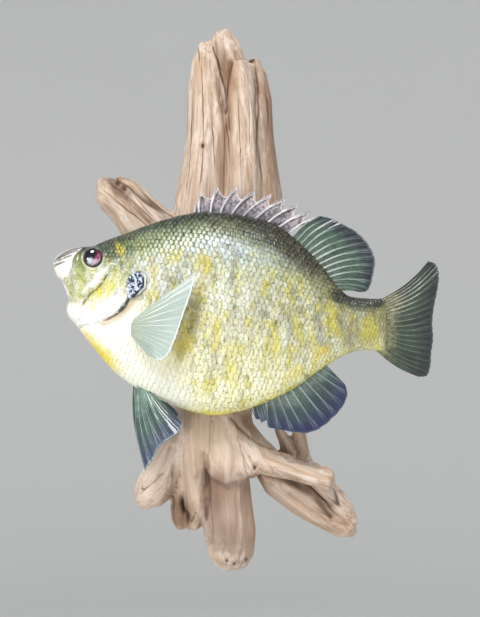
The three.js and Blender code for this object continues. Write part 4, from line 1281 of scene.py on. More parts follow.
def make_fin_paint_group():
    """A fin's colours from root to margin with pale rays, a mottled web, painted shade beside the rays and
    a painted highlight on the rim.
    """
    sockets = [(label, "Color", (0.5, 0.5, 0.5, 1)) for label in ("Root", "Middle", "Margin", "Ray")]
    sockets += [("Mottle", "Float", 0.5), ("Rays", "Float", 0.6), ("Rim", "Float", 0.2)]
    sockets += [("Color", "Color", None), ("Web", "Float", None)]
    tree, given, result = new_group("fin_paint", sockets)
    chart = wire(tree, "UVMap", uv_map="lay")
    chart_along = wire(tree, "SeparateXYZ", [chart], out=1)
    place = object_place(tree)
    patchy = noise_at(tree, place, 160, 3, 0.6)
    along = math_node(tree, "ADD", chart_along, math_node(tree, "MULTIPLY_ADD", patchy, 0.5, -0.25))
    paint = blend(tree, stretch(tree, along, 0.1, 0.5), given["Root"], given["Middle"])
    paint = blend(tree, stretch(tree, along, 0.5, 0.95), paint, given["Margin"])
    mottle = stretch(tree, noise_at(tree, place, 420, 3, 0.7), 0.45, 0.62)
    paint = blend(tree, product(tree, mottle, given["Mottle"]), paint, WEB_TINTS["mottle"])
    ray = read(tree, "ray")
    fold = wire(tree, "Mapping", {"Vector": chart, "Location": (3, 7, 0), "Scale": (14, 0.8, 1)})
    folded = stretch(tree, noise_at(tree, fold, 1, 3, 0.6), 0.5, 0.66, 0, 0.9)
    paint = blend(tree, product(tree, folded, given["Mottle"]), paint, WEB_TINTS["fold"])
    # Painted shade: a dark line along both sides of each ray and spine.
    beside = product(tree, stretch(tree, ray, 0.02, 0.3), stretch(tree, ray, 0.6, 0.3))
    beside = product(tree, beside, math_node(tree, "MULTIPLY_ADD", given["Mottle"], 0.6, 0.1))
    paint = blend(tree, beside, paint, WEB_TINTS["beside_ray"])
    outer = stretch(tree, along, 0.45, 1, 1, 0.2)
    from_ray_to_ray = wire(tree, "Mapping", {"Vector": chart, "Scale": (26, 1.5, 1)})
    shade = noise_at(tree, from_ray_to_ray, 1, 2)
    outer = product(tree, outer, stretch(tree, shade, 0.35, 0.6, 0.35, 1))
    pale = product(tree, stretch(tree, ray, 0.45, 0.9), outer)
    pale = product(tree, pale, given["Rays"])
    # Painted highlight along the fin's margin.
    rim = product(tree, stretch(tree, chart_along, 0.965, 0.98), given["Rim"])
    pale = math_node(tree, "MAXIMUM", pale, rim)
    join(tree, blend(tree, pale, paint, given["Ray"]), result["Color"])
    join(tree, math_node(tree, "SUBTRACT", 1.0, pale), result["Web"])


def fin_material(name, look):
    plain = {"Roughness": 0.35, "Coat Weight": look.varnish, "Coat Roughness": 0.1}
    material, tree, shader = new_material("fin_" + name, plain)
    *codes, mottle, rays, rim = FIN_PAINTS[name]
    values = {label: colour(code) for label, code in zip(("Root", "Middle", "Margin", "Ray"), codes)}
    paint = group_of(tree, "fin_paint", values | {"Mottle": mottle, "Rays": rays, "Rim": rim})
    join(tree, paint["Color"], shader["Base Color"])
    join(tree, stretch(tree, paint["Web"], 0, 1, 0.3, 0.4), shader["Roughness"])
    raise_by(tree, shader["Normal"], noise_at(tree, object_place(tree), 900, 3), 0.1 * MM)
    return material


def pelvic_mesh(side, spread, shift):
    """A pelvic fin, its tip spread away from the fish's middle and its outline shifted."""
    y = FISH_PLANE + side * PELVIC_FOOT * MM
    root, edge = (
        [(x + shift[0] * MM, y, z + shift[1] * MM) for x, _, z in on_plane(outline)]
        for outline in (PELVIC_ROOT, PELVIC_EDGE)
    )

    def bow(across, along):
        return side * spread * along + ripple(across, along)

    return fin_mesh("pelvic", root, edge, 9, 0.7, bow=bow, swing=PELVIC_BOW)


def pectoral_mesh(side, turn, fan, stand_off):
    """A pectoral fin, turned in degrees, fanned out by a part and standing off the body."""
    foot = PECTORAL_FOOT
    width = float(half_width(np.array(foot["x"] * MM)))
    y = FISH_PLANE + side * (width - foot["sunk"] * MM)
    last = len(PECTORAL_RAYS) - 1
    middle = (PECTORAL_RAYS[0][0] + PECTORAL_RAYS[last][0]) / 2
    root, edge = [], []
    for i, (angle, length) in enumerate(PECTORAL_RAYS):
        up = foot["half_height"] * (1 - 2 * i / last)
        root.append(((foot["x"] - foot["ahead"]) * MM, y, (foot["z"] + up) * MM))
        turned = math.radians(middle + (angle - middle) * fan + turn)
        x, z = foot["x"] + length * math.cos(turned), foot["z"] + length * math.sin(turned)
        edge.append((x * MM, y + side * stand_off * MM, z * MM))
    return fin_mesh("pectoral", root, edge, 17, 0.5, bow=ripple, ribs=(0.6, 0.34))


def make_fins(look):
    """All eight fins as thin sheets, the two fins with spines holding them too."""
    spiny_root = [up_spine(one, back_z, -SPINE_BURIED / one[1]) for one in DORSAL_SPINES]
    spiny_edge = web_edge(DORSAL_SPINES, back_z, DORSAL_WEB_HANG)
    anal_edge = web_edge(ANAL_SPINES, belly_z, ANAL_WEB_HANG) + on_plane(ANAL_EDGE)
    spiny = fin_mesh("dorsal_spiny", spiny_root, spiny_edge, 10, 0, ribs=(0.5, 0.3), arc=SPINE_ARC)
    soft_root, soft_edge = on_plane(SOFT_DORSAL_ROOT), on_plane(SOFT_DORSAL_EDGE)
    tail_root, tail_edge = on_plane(TAIL_ROOT), on_plane(TAIL_EDGE)
    anal = fin_mesh("anal", on_plane(ANAL_ROOT), anal_edge, 19, 0.5, bow=ripple)
    soft = fin_mesh("dorsal_soft", soft_root, soft_edge, 15, 0.6, bow=ripple, arc=SPINE_ARC)
    tail = fin_mesh("tail", tail_root, tail_edge, 22, 0.6, bow=ripple, arc=TAIL_ARC)
    sheets = [
        ("dorsal_spiny", with_spines(spiny, DORSAL_SPINES, back_z, SPINE_ARC), "dorsal_fin_spiny"),
        ("dorsal_soft", soft, "dorsal_fin_soft"),
        ("anal", with_spines(anal, ANAL_SPINES, belly_z), "anal_fin"),
        ("tail", tail, "tail_fin"),
        ("pelvic", pelvic_mesh(-1, spread=14, shift=(0, 0)), "pelvic_fin_left"),
        ("pelvic", pelvic_mesh(1, spread=3, shift=(-3.4, 3)), "pelvic_fin_right"),
        ("pectoral", pectoral_mesh(-1, turn=0, fan=1, stand_off=16), "pectoral_fin_left"),
        ("pectoral", pectoral_mesh(1, turn=-74, fan=0.34, stand_off=1.5), "pectoral_fin_right"),
    ]
    make_fin_paint_group()
    materials = {name: fin_material(name, look) for name in FIN_PAINTS}
    for name, mesh, node in sheets:
        mesh.name = "webbed_" + node
        piece(mesh, "fin", materials[name], node)


# ---- Driftwood ---------------------------------------------------------------

WOOD_NODES = (
    "wood_branch", "wood_spire", "wood_heart", "wood_root_left", "wood_root_arm", "wood_root_nub",
    "wood_root_centre", "wood_root_stub", "wood_root_low",
)
# The grain runs along these lines, as [x, z]. A line that grows out of an earlier one is of
# its family and has a head start: how far along the earlier one it begins.
GRAIN_LINES = [
    (0, 0, [[-25, 200], [-24, 146], [-25, 88], [-27, 20], [-30, -60], [-32, -100], [-28, -150]]),
    (1, 0, [[-12, 200], [-4.4, 165], [2.4, 121], [4, 62], [2, 0], [-8, -60], [-11, -110], [-6, -190]]),
    (2, 0, [
        [10, 180], [15.6, 145], [18.4, 100], [20, 40], [12, -20], [0, -70], [16, -101],
        [38, -109.6], [70, -119],
    ]),
    (0, 83, [[-100, 88], [-78, 70], [-50, 40], [-27.4, 8]]),
    (4, 0, [[-90, 94], [-76, 82], [-58, 60], [-38, 40]]),
    (0, 248, [[-29.5, -48], [-36, -80], [-46, -102], [-56, -119], [-76, -140]]),
    (0, 305, [[-46, -102], [-43, -122], [-43, -138], [-41, -160]]),
    (2, 275, [[10.3, -90], [22, -111], [30, -119], [55, -139], [84, -160]]),
    (2, 326, [[52, -114], [56, -124], [62, -131], [84, -156]]),
    (9, 0, [[24, -80], [31.4, -93], [35, -100]]),
    (10, 0, [[38, -66], [41, -86], [43.6, -100]]),
]
# What is worn into the wood's front: line, half width, and height (below 0 is a hollow).
WOOD_FORMS = [
    ([[-12.4, 158], [-11.4, 150], [-9.6, 140], [-8, 128], [-7, 112]], 1.4, -3),
    ([[-30, 184], [-24, 182.6], [-18.4, 182.4]], 1.4, -1),
    (
        [[7.6, 174], [10.5, 161], [11.2, 148], [10.8, 135], [11.6, 124], [12.2, 112], [13, 98], [13.6, 82]],
        1.4, -3.6,
    ),
    (
        [[-27.9, 184], [-25.8, 170], [-24.6, 151], [-24.3, 134], [-24.6, 113], [-25.8, 100], [-27.2, 82]],
        1.5, -1.9,
    ),
    ([[-31, 176], [-32, 150], [-33, 126], [-36, 96], [-39, 76]], 1.6, -1.1),
    ([[-19.6, 168], [-18.4, 140], [-17.6, 118], [-20, 84]], 1.5, -1.2),
    ([[-13.6, 122], [-13, 104], [-9, 78]], 1.6, -1.5),
    ([[-1, 164], [0.4, 140], [0, 116], [-1, 84]], 1.6, -1.4),
    ([[4.6, 160], [5.4, 136], [5, 108], [7, 84]], 1.5, -1.2),
    ([[16.6, 150], [17, 130], [19.6, 106], [23, 84]], 1.5, -1.5),
    ([[1, 188], [-4, 178], [-2, 168]], 1.6, -1.2),
    ([[-94, 82], [-80, 72], [-62, 54]], 1.6, -2.2),
    ([[-86, 75], [-74, 66], [-60, 50]], 1.5, -1.2),
    ([[-80, 86], [-68, 74], [-54, 56]], 1.5, -1.6),
    ([[-32.2, -70], [-32.2, -96], [-31.3, -113], [-28, -129], [-26, -145]], 4, 2.5),
    ([[-20, -72], [-20.4, -92], [-17.6, -104], [-11, -112]], 1.4, -1.4),
    ([[-15, -72], [-15, -88], [-11, -99], [-4, -107]], 1.3, -1.3),
    ([[-11, -72], [-9.6, -84], [-4, -94], [3, -101]], 1.2, -1.2),
    ([[-14, -72], [-8, -84], [0, -93], [10, -99.4], [20, -102]], 1.4, -1.3),
    ([[8, -112], [20, -115.4], [32, -118], [44, -121]], 2.2, -3.4),
    ([[35, -119.4], [50, -131], [63, -143]], 3.2, 3),
    ([[44, -119.4], [58, -132.7], [68, -144]], 1.4, -2),
    ([[54, -121], [66.4, -134.3], [78, -149]], 3, 1.6),
    ([[62, -144], [70, -148.4], [79, -151.4]], 1.4, -2.4),
    ([[24, -112], [30, -122], [42, -134]], 1.5, -1.4),
    ([[-52, -96], [-58, -110], [-66, -124]], 1.6, -1.4),
    ([[-42, -82], [-47, -98], [-56, -116]], 1.6, -1.6),
    ([[-16.4, -124], [-18, -140], [-19, -156]], 1.6, -1.6),
    ([[-10, -124], [-10.4, -142], [-12, -162]], 1.5, -1.1),
    ([[-2, -124], [-1, -144], [-2, -164]], 1.5, -1.3),
    ([[5, -122], [6, -140], [4, -160]], 1.4, -1),
    ([[-40.6, -128.6], [-39.6, -136], [-36.2, -142], [-36, -151]], 1.9, -4.5),
]
# Where the wood on the left of a line is broken off lower: line, the width over which it
# rises again, the drop and how dark the painted shadow along its edge is.
WOOD_STEPS = [
    ([[-4, 170.4], [2, 171.2], [10.4, 170.2]], 9, 4.6, 0.7),
    (
        [[-19, 184], [-18.4, 179], [-15.4, 170.4], [-13.4, 161], [-10.8, 151], [-8.6, 132], [-7.4, 118]],
        4.5, 3.4, 0.9,
    ),
    ([[-9.2, 132], [-8, 147], [-7, 155.6], [-4, 170.4]], 4.5, 3.6, 0.9),
    ([[-47.4, -92], [-52, -104], [-57.6, -113.6], [-69, -128.6]], 7, 2, 0.3),
    ([[-9, -72], [-2.4, -80.4], [6, -88.4], [15, -94], [26.6, -98], [36, -103]], 5, 2.4, 0.6),
    (
        [[13.5, -110.3], [6.9, -113.6], [1.9, -117], [-7.9, -119.4], [-19, -115.3], [-25, -107]],
        16, 4, 0.35,
    ),
    ([[-27.6, -96], [-26, -113], [-24.6, -130], [-23.4, -148]], 9, 4.4, 0.25),
    ([[-43, -130], [-43, -110], [-43.6, -92]], 7, 2.4, 0.3),
    ([[36.5, -114.4], [50, -125.6], [64.6, -138.3]], 5, 2.8, 0.6),
    ([[66, -147], [58, -144], [44, -134], [34, -124]], 8, 2.6, 0.35),
    ([[-92, 86], [-82, 78], [-72, 68], [-60, 56]], 5, 2, 0.5),
]
# Knots and pits: x, z, radius and depth.
KNOTS = [
    (-25.2, 110.6, 1.3, 2.4), (10, -107.6, 1.5, 1.6), (-4, -174.6, 1.2, 1.6), (4.5, -173, 1.3, 1.6),
    (-9, -172, 1.2, 1.4), (-84, 86, 1.6, 1.6), (-79, 82, 1.6, 1.6), (23, -158, 1.4, 1.4),
]
# Where the surface is broken and ragged: x, z and radius.
RAGGED = [
    (-86, 84, 11), (-3, -176, 12), (-41, -144, 13), (-29, -154, 8), (74, -150, 8), (14, 172, 6),
    (60, -116, 5),
]
# Patches on the wood, airbrushed like the fish's patches: weather stains, and painted shade where marked.
WOOD_PATCHES = [
    # Painted shade on the spire's right side, away from the light.
    ("spire's right side", "7d5841", (21, 122), (6, 50), 5, 0.7, 0.7),
    # Painted shade between the two columns and their tops.
    ("between the tops", "7d5c44", (-9, 163), (4.6, 16), 14, 0.8, 0.6),
    ("between the columns", "a8805f", (-8, 134), (4, 40), -6, 0.5, 0.8),
    ("broken branch end", "6b4a34", (-84, 83.4), (11, 4.6), -40, 0.75, 0.6),
    ("under the branch", "9c765a", (-66, 62), (14, 4), -42, 0.5, 0.8),
    # Painted shade left of the centre root and under the fold above it.
    ("left of the centre root", "7b6152", (-16, -126), (7.4, 20), 0, 0.8, 0.7),
    ("under the fold", "8a6b58", (-4, -126), (16, 12), 0, 0.7, 0.9),
    ("centre root", "b39c8c", (-1, -150), (14, 25), 0, 0.65, 0.8),
    ("heart", "ead3bb", (-20, -90), (16, 16), 0, 0.75, 0.8),
    ("nub root", "dcc0a8", (-33, -120), (6, 26), 4, 0.6, 0.8),
    ("left root", "e6d3c2", (-56, -112), (22, 10), 52, 0.55, 0.8),
    ("centre root's end", "856d61", (-12, -154), (13, 10), -20, 0.6, 0.7),
    ("right of the root", "9a7556", (10, -150), (6, 26), 0, 0.5, 0.8),
    ("arm's shoulder", "84603f", (10, -80), (20, 6), -36, 0.6, 0.7),
    ("stub", "7c5a40", (-41, -142), (9, 12), 0, 0.7, 0.6),
    ("back root", "8c674c", (40, -88), (8, 16), 10, 0.5, 0.7),
    ("low root", "a98268", (52, -138), (26, 8), -34, 0.35, 0.8),
]
# Thin dark cracks: from (x, z) to (x, z), and half width.
WOOD_CRACKS = [
    ((10.8, 170), (12.9, 147), 0.7), ((12.8, 150), (11.4, 110), 0.8), ((11.8, 112), (15.6, 84), 0.5),
    ((-26, 168), (-24.8, 112), 0.45), ((-29.5, 181), (-27.6, 168), 0.5), ((-25.2, 110), (-27, 82), 0.5),
    ((-19, 136), (-18, 96), 0.3), ((-1, 150), (0.6, 92), 0.3), ((6, 148), (6.6, 106), 0.3),
    ((17.4, 158), (19.4, 122), 0.45), ((-32.4, 140), (-35.4, 90), 0.3), ((-9.4, 132), (-7.4, 104), 0.6),
    ((-92, 80), (-64, 56), 0.5), ((-76, 76), (-54, 54), 0.35), ((48, -122), (66, -141), 0.5),
]
# Lumps that round out the wood where limbs meet or end: centre and radii.
WOOD_LUMPS = [
    ((-39.5, -17, -119), (6.5, 11, 10)), ((57.6, -42, -115.6), (6.4, 8, 8.4)),
    ((5.6, -40, -106.6), (10, 8.6, 9)), ((-24, -34, -84), (7, 12, 26)),
    ((25.4, -22, 50), (4.8, 21, 28)), ((-42, -18, -76), (7, 14, 17)),
    ((-14.5, -20, 183), (6.2, 12, 9)), ((-93, -21, 85), (7, 10, 6.4)),
    ((-32, -20, -133), (6.6, 12.6, 10)),
]
CUT_CLOSING = 0.3  # the joined wood swells by this, which closes its cuts
SMOOTHING_ROUNDS = 16
GRAIN_SQUEEZE = 0.035  # lengths along the grain count as this part of those across it
GRAIN_SWELLS = [(2.2, 0.7), (4, 0.9), (9, 1.2)]  # size and height of the grain's ridges
GRAIN_BLEND = 1.6  # two limbs' grains run into each other over this width
FAMILY_SHIFT = 0.031  # sets the families' grain apart, in metres
FRONT_OF_WOOD = -14  # forms are worn in where the wood stands out past this y
FLAT_BACK = 0.8  # what lies this near the wall is flat on it
RAGGED_DEPTH = 0.9
WANDER = 0.9  # how far a drawn form strays from its line
# Painted shade goes into the drawn hollows.
DARK_HOLLOWS = (1.4, 4.6)  # hollows deeper than the first start to darken, to full at the second
# The hollow tint is painted shade in low grain; the crack tint also carries painted shade.
WOOD_TINTS = tints(
    cloud="c09c7c", rose="dcc8bc", line="8d6c52", fibre="7d5f48", hollow="8a6850", thin_crack="4b3424",
    crack="45301f",
)


def joined_wood(cell):
    """The wood nodes as one skin of even cells, its facets smoothed away."""
    bm = bmesh.new()
    for node in WOOD_NODES:
        bm.from_mesh(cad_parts[node].data)
    bmesh.ops.remove_doubles(bm, verts=bm.verts, dist=0.001 * MM)
    for centre, radii in WOOD_LUMPS:
        lump = bmesh.ops.create_icosphere(bm, subdivisions=3, radius=MM)["verts"]
        bmesh.ops.scale(bm, vec=radii, verts=lump)
        bmesh.ops.translate(bm, vec=[c * MM for c in centre], verts=lump)
    rough = bpy.data.objects.new("rough_wood", finished_mesh(bm, "rough_wood"))
    bpy.context.scene.collection.objects.link(rough)
    closing = rough.modifiers.new("close the cuts", "DISPLACE")
    closing.strength, closing.mid_level = CUT_CLOSING * MM, 0
    remesh = rough.modifiers.new("even cells", "REMESH")
    remesh.mode, remesh.voxel_size = "VOXEL", cell
    smooth = rough.modifiers.new("wear the facets", "SMOOTH")
    smooth.factor, smooth.iterations = 0.5, SMOOTHING_ROUNDS
    graph = bpy.context.evaluated_depsgraph_get()
    mesh = bpy.data.meshes.new_from_object(rough.evaluated_get(graph), depsgraph=graph)
    bpy.data.objects.remove(rough)
    mesh.name = "driftwood"
    return mesh


def grain_at(points):
    """The grain's height and crack depth at points, and their place in the grain."""
    spots = points[:, [0, 2]]
    found = []
    for family, head_start, line in GRAIN_LINES:
        off_line, along = stroke(spots, line)
        length = np.linalg.norm(np.diff(np.array(line, float), axis=0), axis=1).sum() * MM
        along = (along * length + head_start * MM) * GRAIN_SQUEEZE
        place = np.stack([off_line, points[:, 1], along], 1) + family * FAMILY_SHIFT
        found.append((np.abs(off_line), place))
    distance = np.stack([away for away, _ in found])
    weight = np.exp(-(distance - distance.min(0)) / (GRAIN_BLEND * MM))
    weight /= weight.sum(0)
    height, crack = np.zeros(len(points)), np.zeros(len(points))
    lay = np.zeros_like(points)
    nearest = distance.argmin(0)
    for number, (_, place) in enumerate(found):
        used = weight[number] > 0.02
        here = place[used]
        fibre = sum(high * rumple(here, wide * MM, i) for i, (wide, high) in enumerate(GRAIN_SWELLS))
        seam = 1 - np.abs(rumple(here, 7 * MM, 3))
        split = ramp(0.84, 1, seam) * ramp(0.1, 0.6, rumple(here, 13 * MM, 4))
        height[used] += weight[number][used] * fibre
        crack[used] += weight[number][used] * split
        lay[nearest == number] = place[nearest == number]
    return height, crack, lay


def worn_forms(points, facing):
    """How far the drawn forms raise each point towards the room, and the painted shade they leave in
    hollows, along step edges and in knot pits.
    """
    spots = points[:, [0, 2]]
    wander = rumple(points * [1, 1, 0.3], 6 * MM, 6) * WANDER * MM
    rise, dark = np.zeros(len(points)), np.zeros(len(points))
    for line, half, height in WOOD_FORMS:
        off_line, along = stroke(spots, line)
        ends = np.sin(np.clip(along, 0, 1) * math.pi) ** 0.5
        here = bump_at((off_line + wander) / MM, half) * ends * facing
        rise += here * height
        dark = np.maximum(dark, here * ramp(*DARK_HOLLOWS, -height))
    for line, recovery, drop, edge in WOOD_STEPS:
        off_line, along = stroke(spots, line)
        left = (off_line + wander) / MM
        fade = ramp(0, 0.08, along) * ramp(1, 0.92, along)
        rise -= ramp(-0.4, 0.4, left) * (1 - ramp(0, recovery, left)) * fade * facing * drop
        dark = np.maximum(dark, bump_at(left - 0.5, 0.8) * fade * facing * edge)
    for x, z, radius, depth in KNOTS:
        away = np.hypot(spots[:, 0] / MM - x, (spots[:, 1] / MM - z) * 0.7)
        here = bump_at(away, radius) * facing
        rise += bump_at(away - radius * 2, radius * 0.8) * facing - here * depth
        dark = np.maximum(dark, here)
    return rise, dark


def make_driftwood(look):
    """The joined wood with its grain, cracks and drawn forms worn into it."""
    mesh = joined_wood(look.cell)
    points = points_of(mesh)
    normals = np.empty(len(points) * 3)
    mesh.vertices.foreach_get("normal", normals)
    normals = normals.reshape(-1, 3)
    x, y, z = points.T / MM
    height, crack, lay = grain_at(points)
    facing = ramp(0.1, 0.55, -normals[:, 1]) * ramp(FRONT_OF_WOOD + 4, FRONT_OF_WOOD, y)
    rise, dark = worn_forms(points, facing)
    ragged = np.clip(sum(bump_at(np.hypot(x - a, z - b), radius) for a, b, radius in RAGGED), 0, 1)
    chips = rumple(points * [1, 1, 0.6], 2.8 * MM, 8) + 0.8 * rumple(points, 5 * MM, 9)
    off_wall = ramp(0.5, 5, -y)
    move = look.grain_depth * height - look.crack_depth * crack + RAGGED_DEPTH * MM * ragged * chips
    points = points + normals * (move * off_wall)[:, None]
    points[:, 1] -= rise * off_wall * MM
    points[:, 1] = np.where(points[:, 1] > -FLAT_BACK * MM, 0, points[:, 1])
    place_points(mesh, points)
    # The crack attribute darkens the drying cracks and holds the painted shade of the hollows, step edges
    # and knot pits.
    give(mesh, "crack", np.clip(np.maximum(crack * 0.8, dark), 0, 1))
    give(mesh, "height", height + 1.4 * ragged * chips)
    give(mesh, "lay", lay)
    piece(mesh, "driftwood", wood_material(look), *WOOD_NODES)


def wood_material(look):
    material, tree, shader = new_material("driftwood", {"Roughness": 0.8, "Specular IOR Level": 0.25})
    lay = wire(tree, "Attribute", out=1, attribute_name="lay")
    place = object_place(tree)
    streak = noise_at(tree, lay, 240, 4, 0.6, 0.3)
    fibre = noise_at(tree, lay, 900, 3, 0.7)
    cloud = noise_at(tree, place, 22, 3, 0.6)
    paint = blend(tree, stretch(tree, streak, 0.34, 0.62), [*look.dark_wood, 1], [*look.pale_wood, 1])
    paint = blend(tree, stretch(tree, cloud, 0.47, 0.7, 0, 0.5), paint, WOOD_TINTS["cloud"])
    rose = stretch(tree, noise_at(tree, lay, 80, 2), 0.48, 0.68, 0, 0.5)
    paint = blend(tree, rose, paint, WOOD_TINTS["rose"])
    line = stretch(tree, noise_at(tree, lay, 480, 2, 0.5), 0.55, 0.63, 0, 0.4)
    paint = blend(tree, line, paint, WOOD_TINTS["line"])
    paint = blend(tree, stretch(tree, fibre, 0.5, 0.28, 0, 0.4), paint, WOOD_TINTS["fibre"])
    # Painted shade where the grain's surface lies low.
    low = stretch(tree, read(tree, "height"), -0.4, -1.9, 0, 0.45)
    paint = blend(tree, low, paint, WOOD_TINTS["hollow"])
    # Stains, and painted shade in the places marked in the table.
    paint = airbrushed(tree, wandering(tree, place, 160, 5), paint, WOOD_PATCHES)
    drifting = wandering(tree, place, 45, 4)
    for start, end, thickness in WOOD_CRACKS:
        line_of = Vector(end) - Vector(start)
        centre = (Vector(start) + Vector(end)) / 2
        turn = math.degrees(math.atan2(line_of.y, line_of.x))
        part = within(tree, drifting, centre, (line_of.length / 2, thickness), turn, 0.7)
        paint = blend(tree, product(tree, part, 0.75), paint, WOOD_TINTS["thin_crack"])
    # Darkens the cracks and paints shade into hollows, along step edges and into knot pits.
    crack = stretch(tree, read(tree, "crack"), 0.15, 0.9, 0, 0.85)
    paint = blend(tree, crack, paint, WOOD_TINTS["crack"])
    join(tree, paint, shader["Base Color"])
    join(tree, stretch(tree, fibre, 0.2, 0.8, 0.68, 0.92), shader["Roughness"])
    relief = math_node(tree, "MULTIPLY_ADD", fibre, 0.6, product(tree, streak, 0.9))
    relief = math_node(tree, "SUBTRACT", relief, line)
    raise_by(tree, shader["Normal"], relief, 0.6 * MM, 0.9)
    return material


# ---- Stage -------------------------------------------------------------------

BOWL_STEPS = 12  # in the quarter circle, of one metre's radius, from the floor to the wall
BOWL_SIDES = 64


def make_stage(look):
    """A seamless pale bowl, soft lights, and the camera in front of the mount."""
    bm = bmesh.new()
    floor_z = CAD_BOX[0].z - look.floor_drop
    corners = [(0, 0), (look.floor_radius, 0)]
    for step in range(1, BOWL_STEPS + 1):
        angle = step / BOWL_STEPS * math.pi / 2
        corners.append((look.floor_radius + math.sin(angle), 1 - math.cos(angle)))
    corners.append((look.floor_radius + 1, look.wall_height))
    verts = [bm.verts.new((x, 0, floor_z + z)) for x, z in corners]
    edges = [bm.edges.new(pair) for pair in itertools.pairwise(verts)]
    bmesh.ops.spin(
        bm, geom=verts + edges, cent=(0, 0, 0), axis=(0, 0, 1), angle=2 * math.pi, steps=BOWL_SIDES,
        use_merge=True,
    )
    bmesh.ops.remove_doubles(bm, verts=bm.verts, dist=MM)
    bmesh.ops.recalc_face_normals(bm, faces=bm.faces)
    mesh = finished_mesh(bm, "studio_bowl")
    mesh.shade_smooth()
    material, tree, shader = new_material("studio_paper", {"Roughness": 0.9})
    tint = noise_at(tree, object_place(tree), 0.8, 1)
    shaded = [0.97 * channel for channel in look.paper]
    join(tree, blend(tree, tint, [*look.paper, 1], [*shaded, 1]), shader["Base Color"])
    mesh.materials.append(material)
    bowl = bpy.data.objects.new("studio_bowl", mesh)
    bpy.context.scene.collection.objects.link(bowl)

    aim = Vector((0, FISH_PLANE, 0))
    # Name, place, size, power and colour.
    lamps = [
        ("key", (-0.5, -1.6, 1.7), 0.9, look.key_power, (1, 0.99, 0.97)),
        ("window", (-1.4, -1.6, -0.25), 0.7, look.window_power, (0.98, 0.99, 1)),
        ("fill", (1.7, -1.3, 0.3), 1.4, look.fill_power, (1, 1, 1)),
        ("rim", (0.6, 1.0, 1.7), 1.0, look.fill_power, (1, 1, 1)),
    ]
    for name, place, size, power, tint_colour in lamps:
        light = bpy.data.lights.new(name, "AREA")
        light.shape, light.size = "DISK", size
        light.energy, light.color = power, tint_colour
        lamp = bpy.data.objects.new(name, light)
        lamp.location = place
        lamp.rotation_euler = (aim - Vector(place)).to_track_quat("-Z", "Y").to_euler()
        bpy.context.scene.collection.objects.link(lamp)

    world = bpy.data.worlds.new("studio air")
    world.use_nodes = True
    air = world.node_tree.nodes["Background"].inputs
    air["Color"].default_value = (0.86, 0.9, 1, 1)
    air["Strength"].default_value = look.air_light
    bpy.context.scene.world = world
    bpy.context.scene.view_settings.view_transform = "Standard"

    camera_data = bpy.data.cameras.new("camera")
    camera_data.sensor_width, camera_data.lens = look.sensor_width, look.lens
    camera_data.clip_start = 0.01
    camera = bpy.data.objects.new("camera", camera_data)
    camera.location = (0, -look.camera_distance, 0)
    camera.rotation_euler = (math.pi / 2, 0, 0)
    bpy.context.scene.collection.objects.link(camera)
    bpy.context.scene.camera = camera


# ---- Settings ----------------------------------------------------------------


def size(name, description, default, low=0.0, high=1.0):
    return FloatProperty(
        name=name, description=description, default=default, min=low, max=high, unit="LENGTH", precision=5,
    )


def share(name, description, default, high=1.0):
    return FloatProperty(name=name, description=description, default=default, min=0, max=high)


def power(name, description, default):
    return FloatProperty(name=name, description=description, default=default, min=0, unit="POWER")


def camera_length(name, description, default):
    return FloatProperty(
        name=name, description=description, default=default, min=1, subtype="DISTANCE_CAMERA",
    )


def swatch(name, description, code):
    return FloatVectorProperty(
        name=name, description=description, default=colour(code)[:3], subtype="COLOR", size=3, min=0, max=1,
    )


class FishLook(bpy.types.PropertyGroup):
    """Sizes and colours of the fish."""

    coat_depth: size("Coat depth", "How far the skin lies inside the body, under the scales", 0.45 * MM)
    scale_thickness: size("Scale thickness", "Thickness of each scale", 0.22 * MM)
    scale_lift: size("Scale lift", "How far each scale's rear edge stands up", 0.5 * MM)
    gap_strength: share("Scale shadow", "How dark the pigment between scales is", 0.9)
    varnish: share("Varnish", "Strength of the clear coat", 0.6)
    gold_strength: share("Gold", "Strength of the gold mottling", 0.62)
    gold_colour: swatch("Gold colour", "Colour of the gold mottling", "d4ca46")
    dusk_strength: share("Dusk", "Strength of the grey mottling", 0.5)
    dusk_colour: swatch("Dusk colour", "Colour of the grey mottling", "9c9b8a")
    pale_strength: share("Pearl", "Strength of the pearly mottling", 0.5)
    iris_colour: swatch("Iris", "Colour of the iris", "6e1230")


class WoodLook(bpy.types.PropertyGroup):
    """Sizes and colours of the driftwood."""

    cell: size("Cell", "Size of the wood skin's cells", 1.2 * MM, 0.0005)
    grain_depth: size("Grain depth", "Height of the weathered grain", 0.4 * MM)
    crack_depth: size("Crack depth", "Depth of the small drying cracks", 1.3 * MM)
    pale_wood: swatch("Pale wood", "Colour of the pale streaks", "e0cfc0")
    dark_wood: swatch("Dark wood", "Colour of the dark streaks", "c4a88f")


class StageLook(bpy.types.PropertyGroup):
    """The bowl, the lights and the camera."""

    floor_drop: size("Floor drop", "Floor's distance below the mount", 0.5)
    floor_radius: size("Floor radius", "Radius of the flat floor", 2.2, 0.5, 10)
    wall_height: size("Wall height", "Height of the bowl's wall", 2.6, 0.5, 10)
    paper: swatch("Paper", "Colour of the floor and walls", "e4e4e2")
    key_power: power("Key", "Power of the main light", 40)
    window_power: power("Window", "Power of the low left light", 14)
    fill_power: power("Fill", "Power of the fill light and of the light from behind", 9)
    air_light: share("Air light", "Strength of the light from all round", 0.35, 5)
    lens: camera_length("Lens", "Focal length", 79.4)
    sensor_width: camera_length("Sensor", "Sensor width", 36)
    camera_distance: size("Camera distance", "Distance of the camera from the wall", 0.966, 0.1, 10)


# ---- Operators ---------------------------------------------------------------


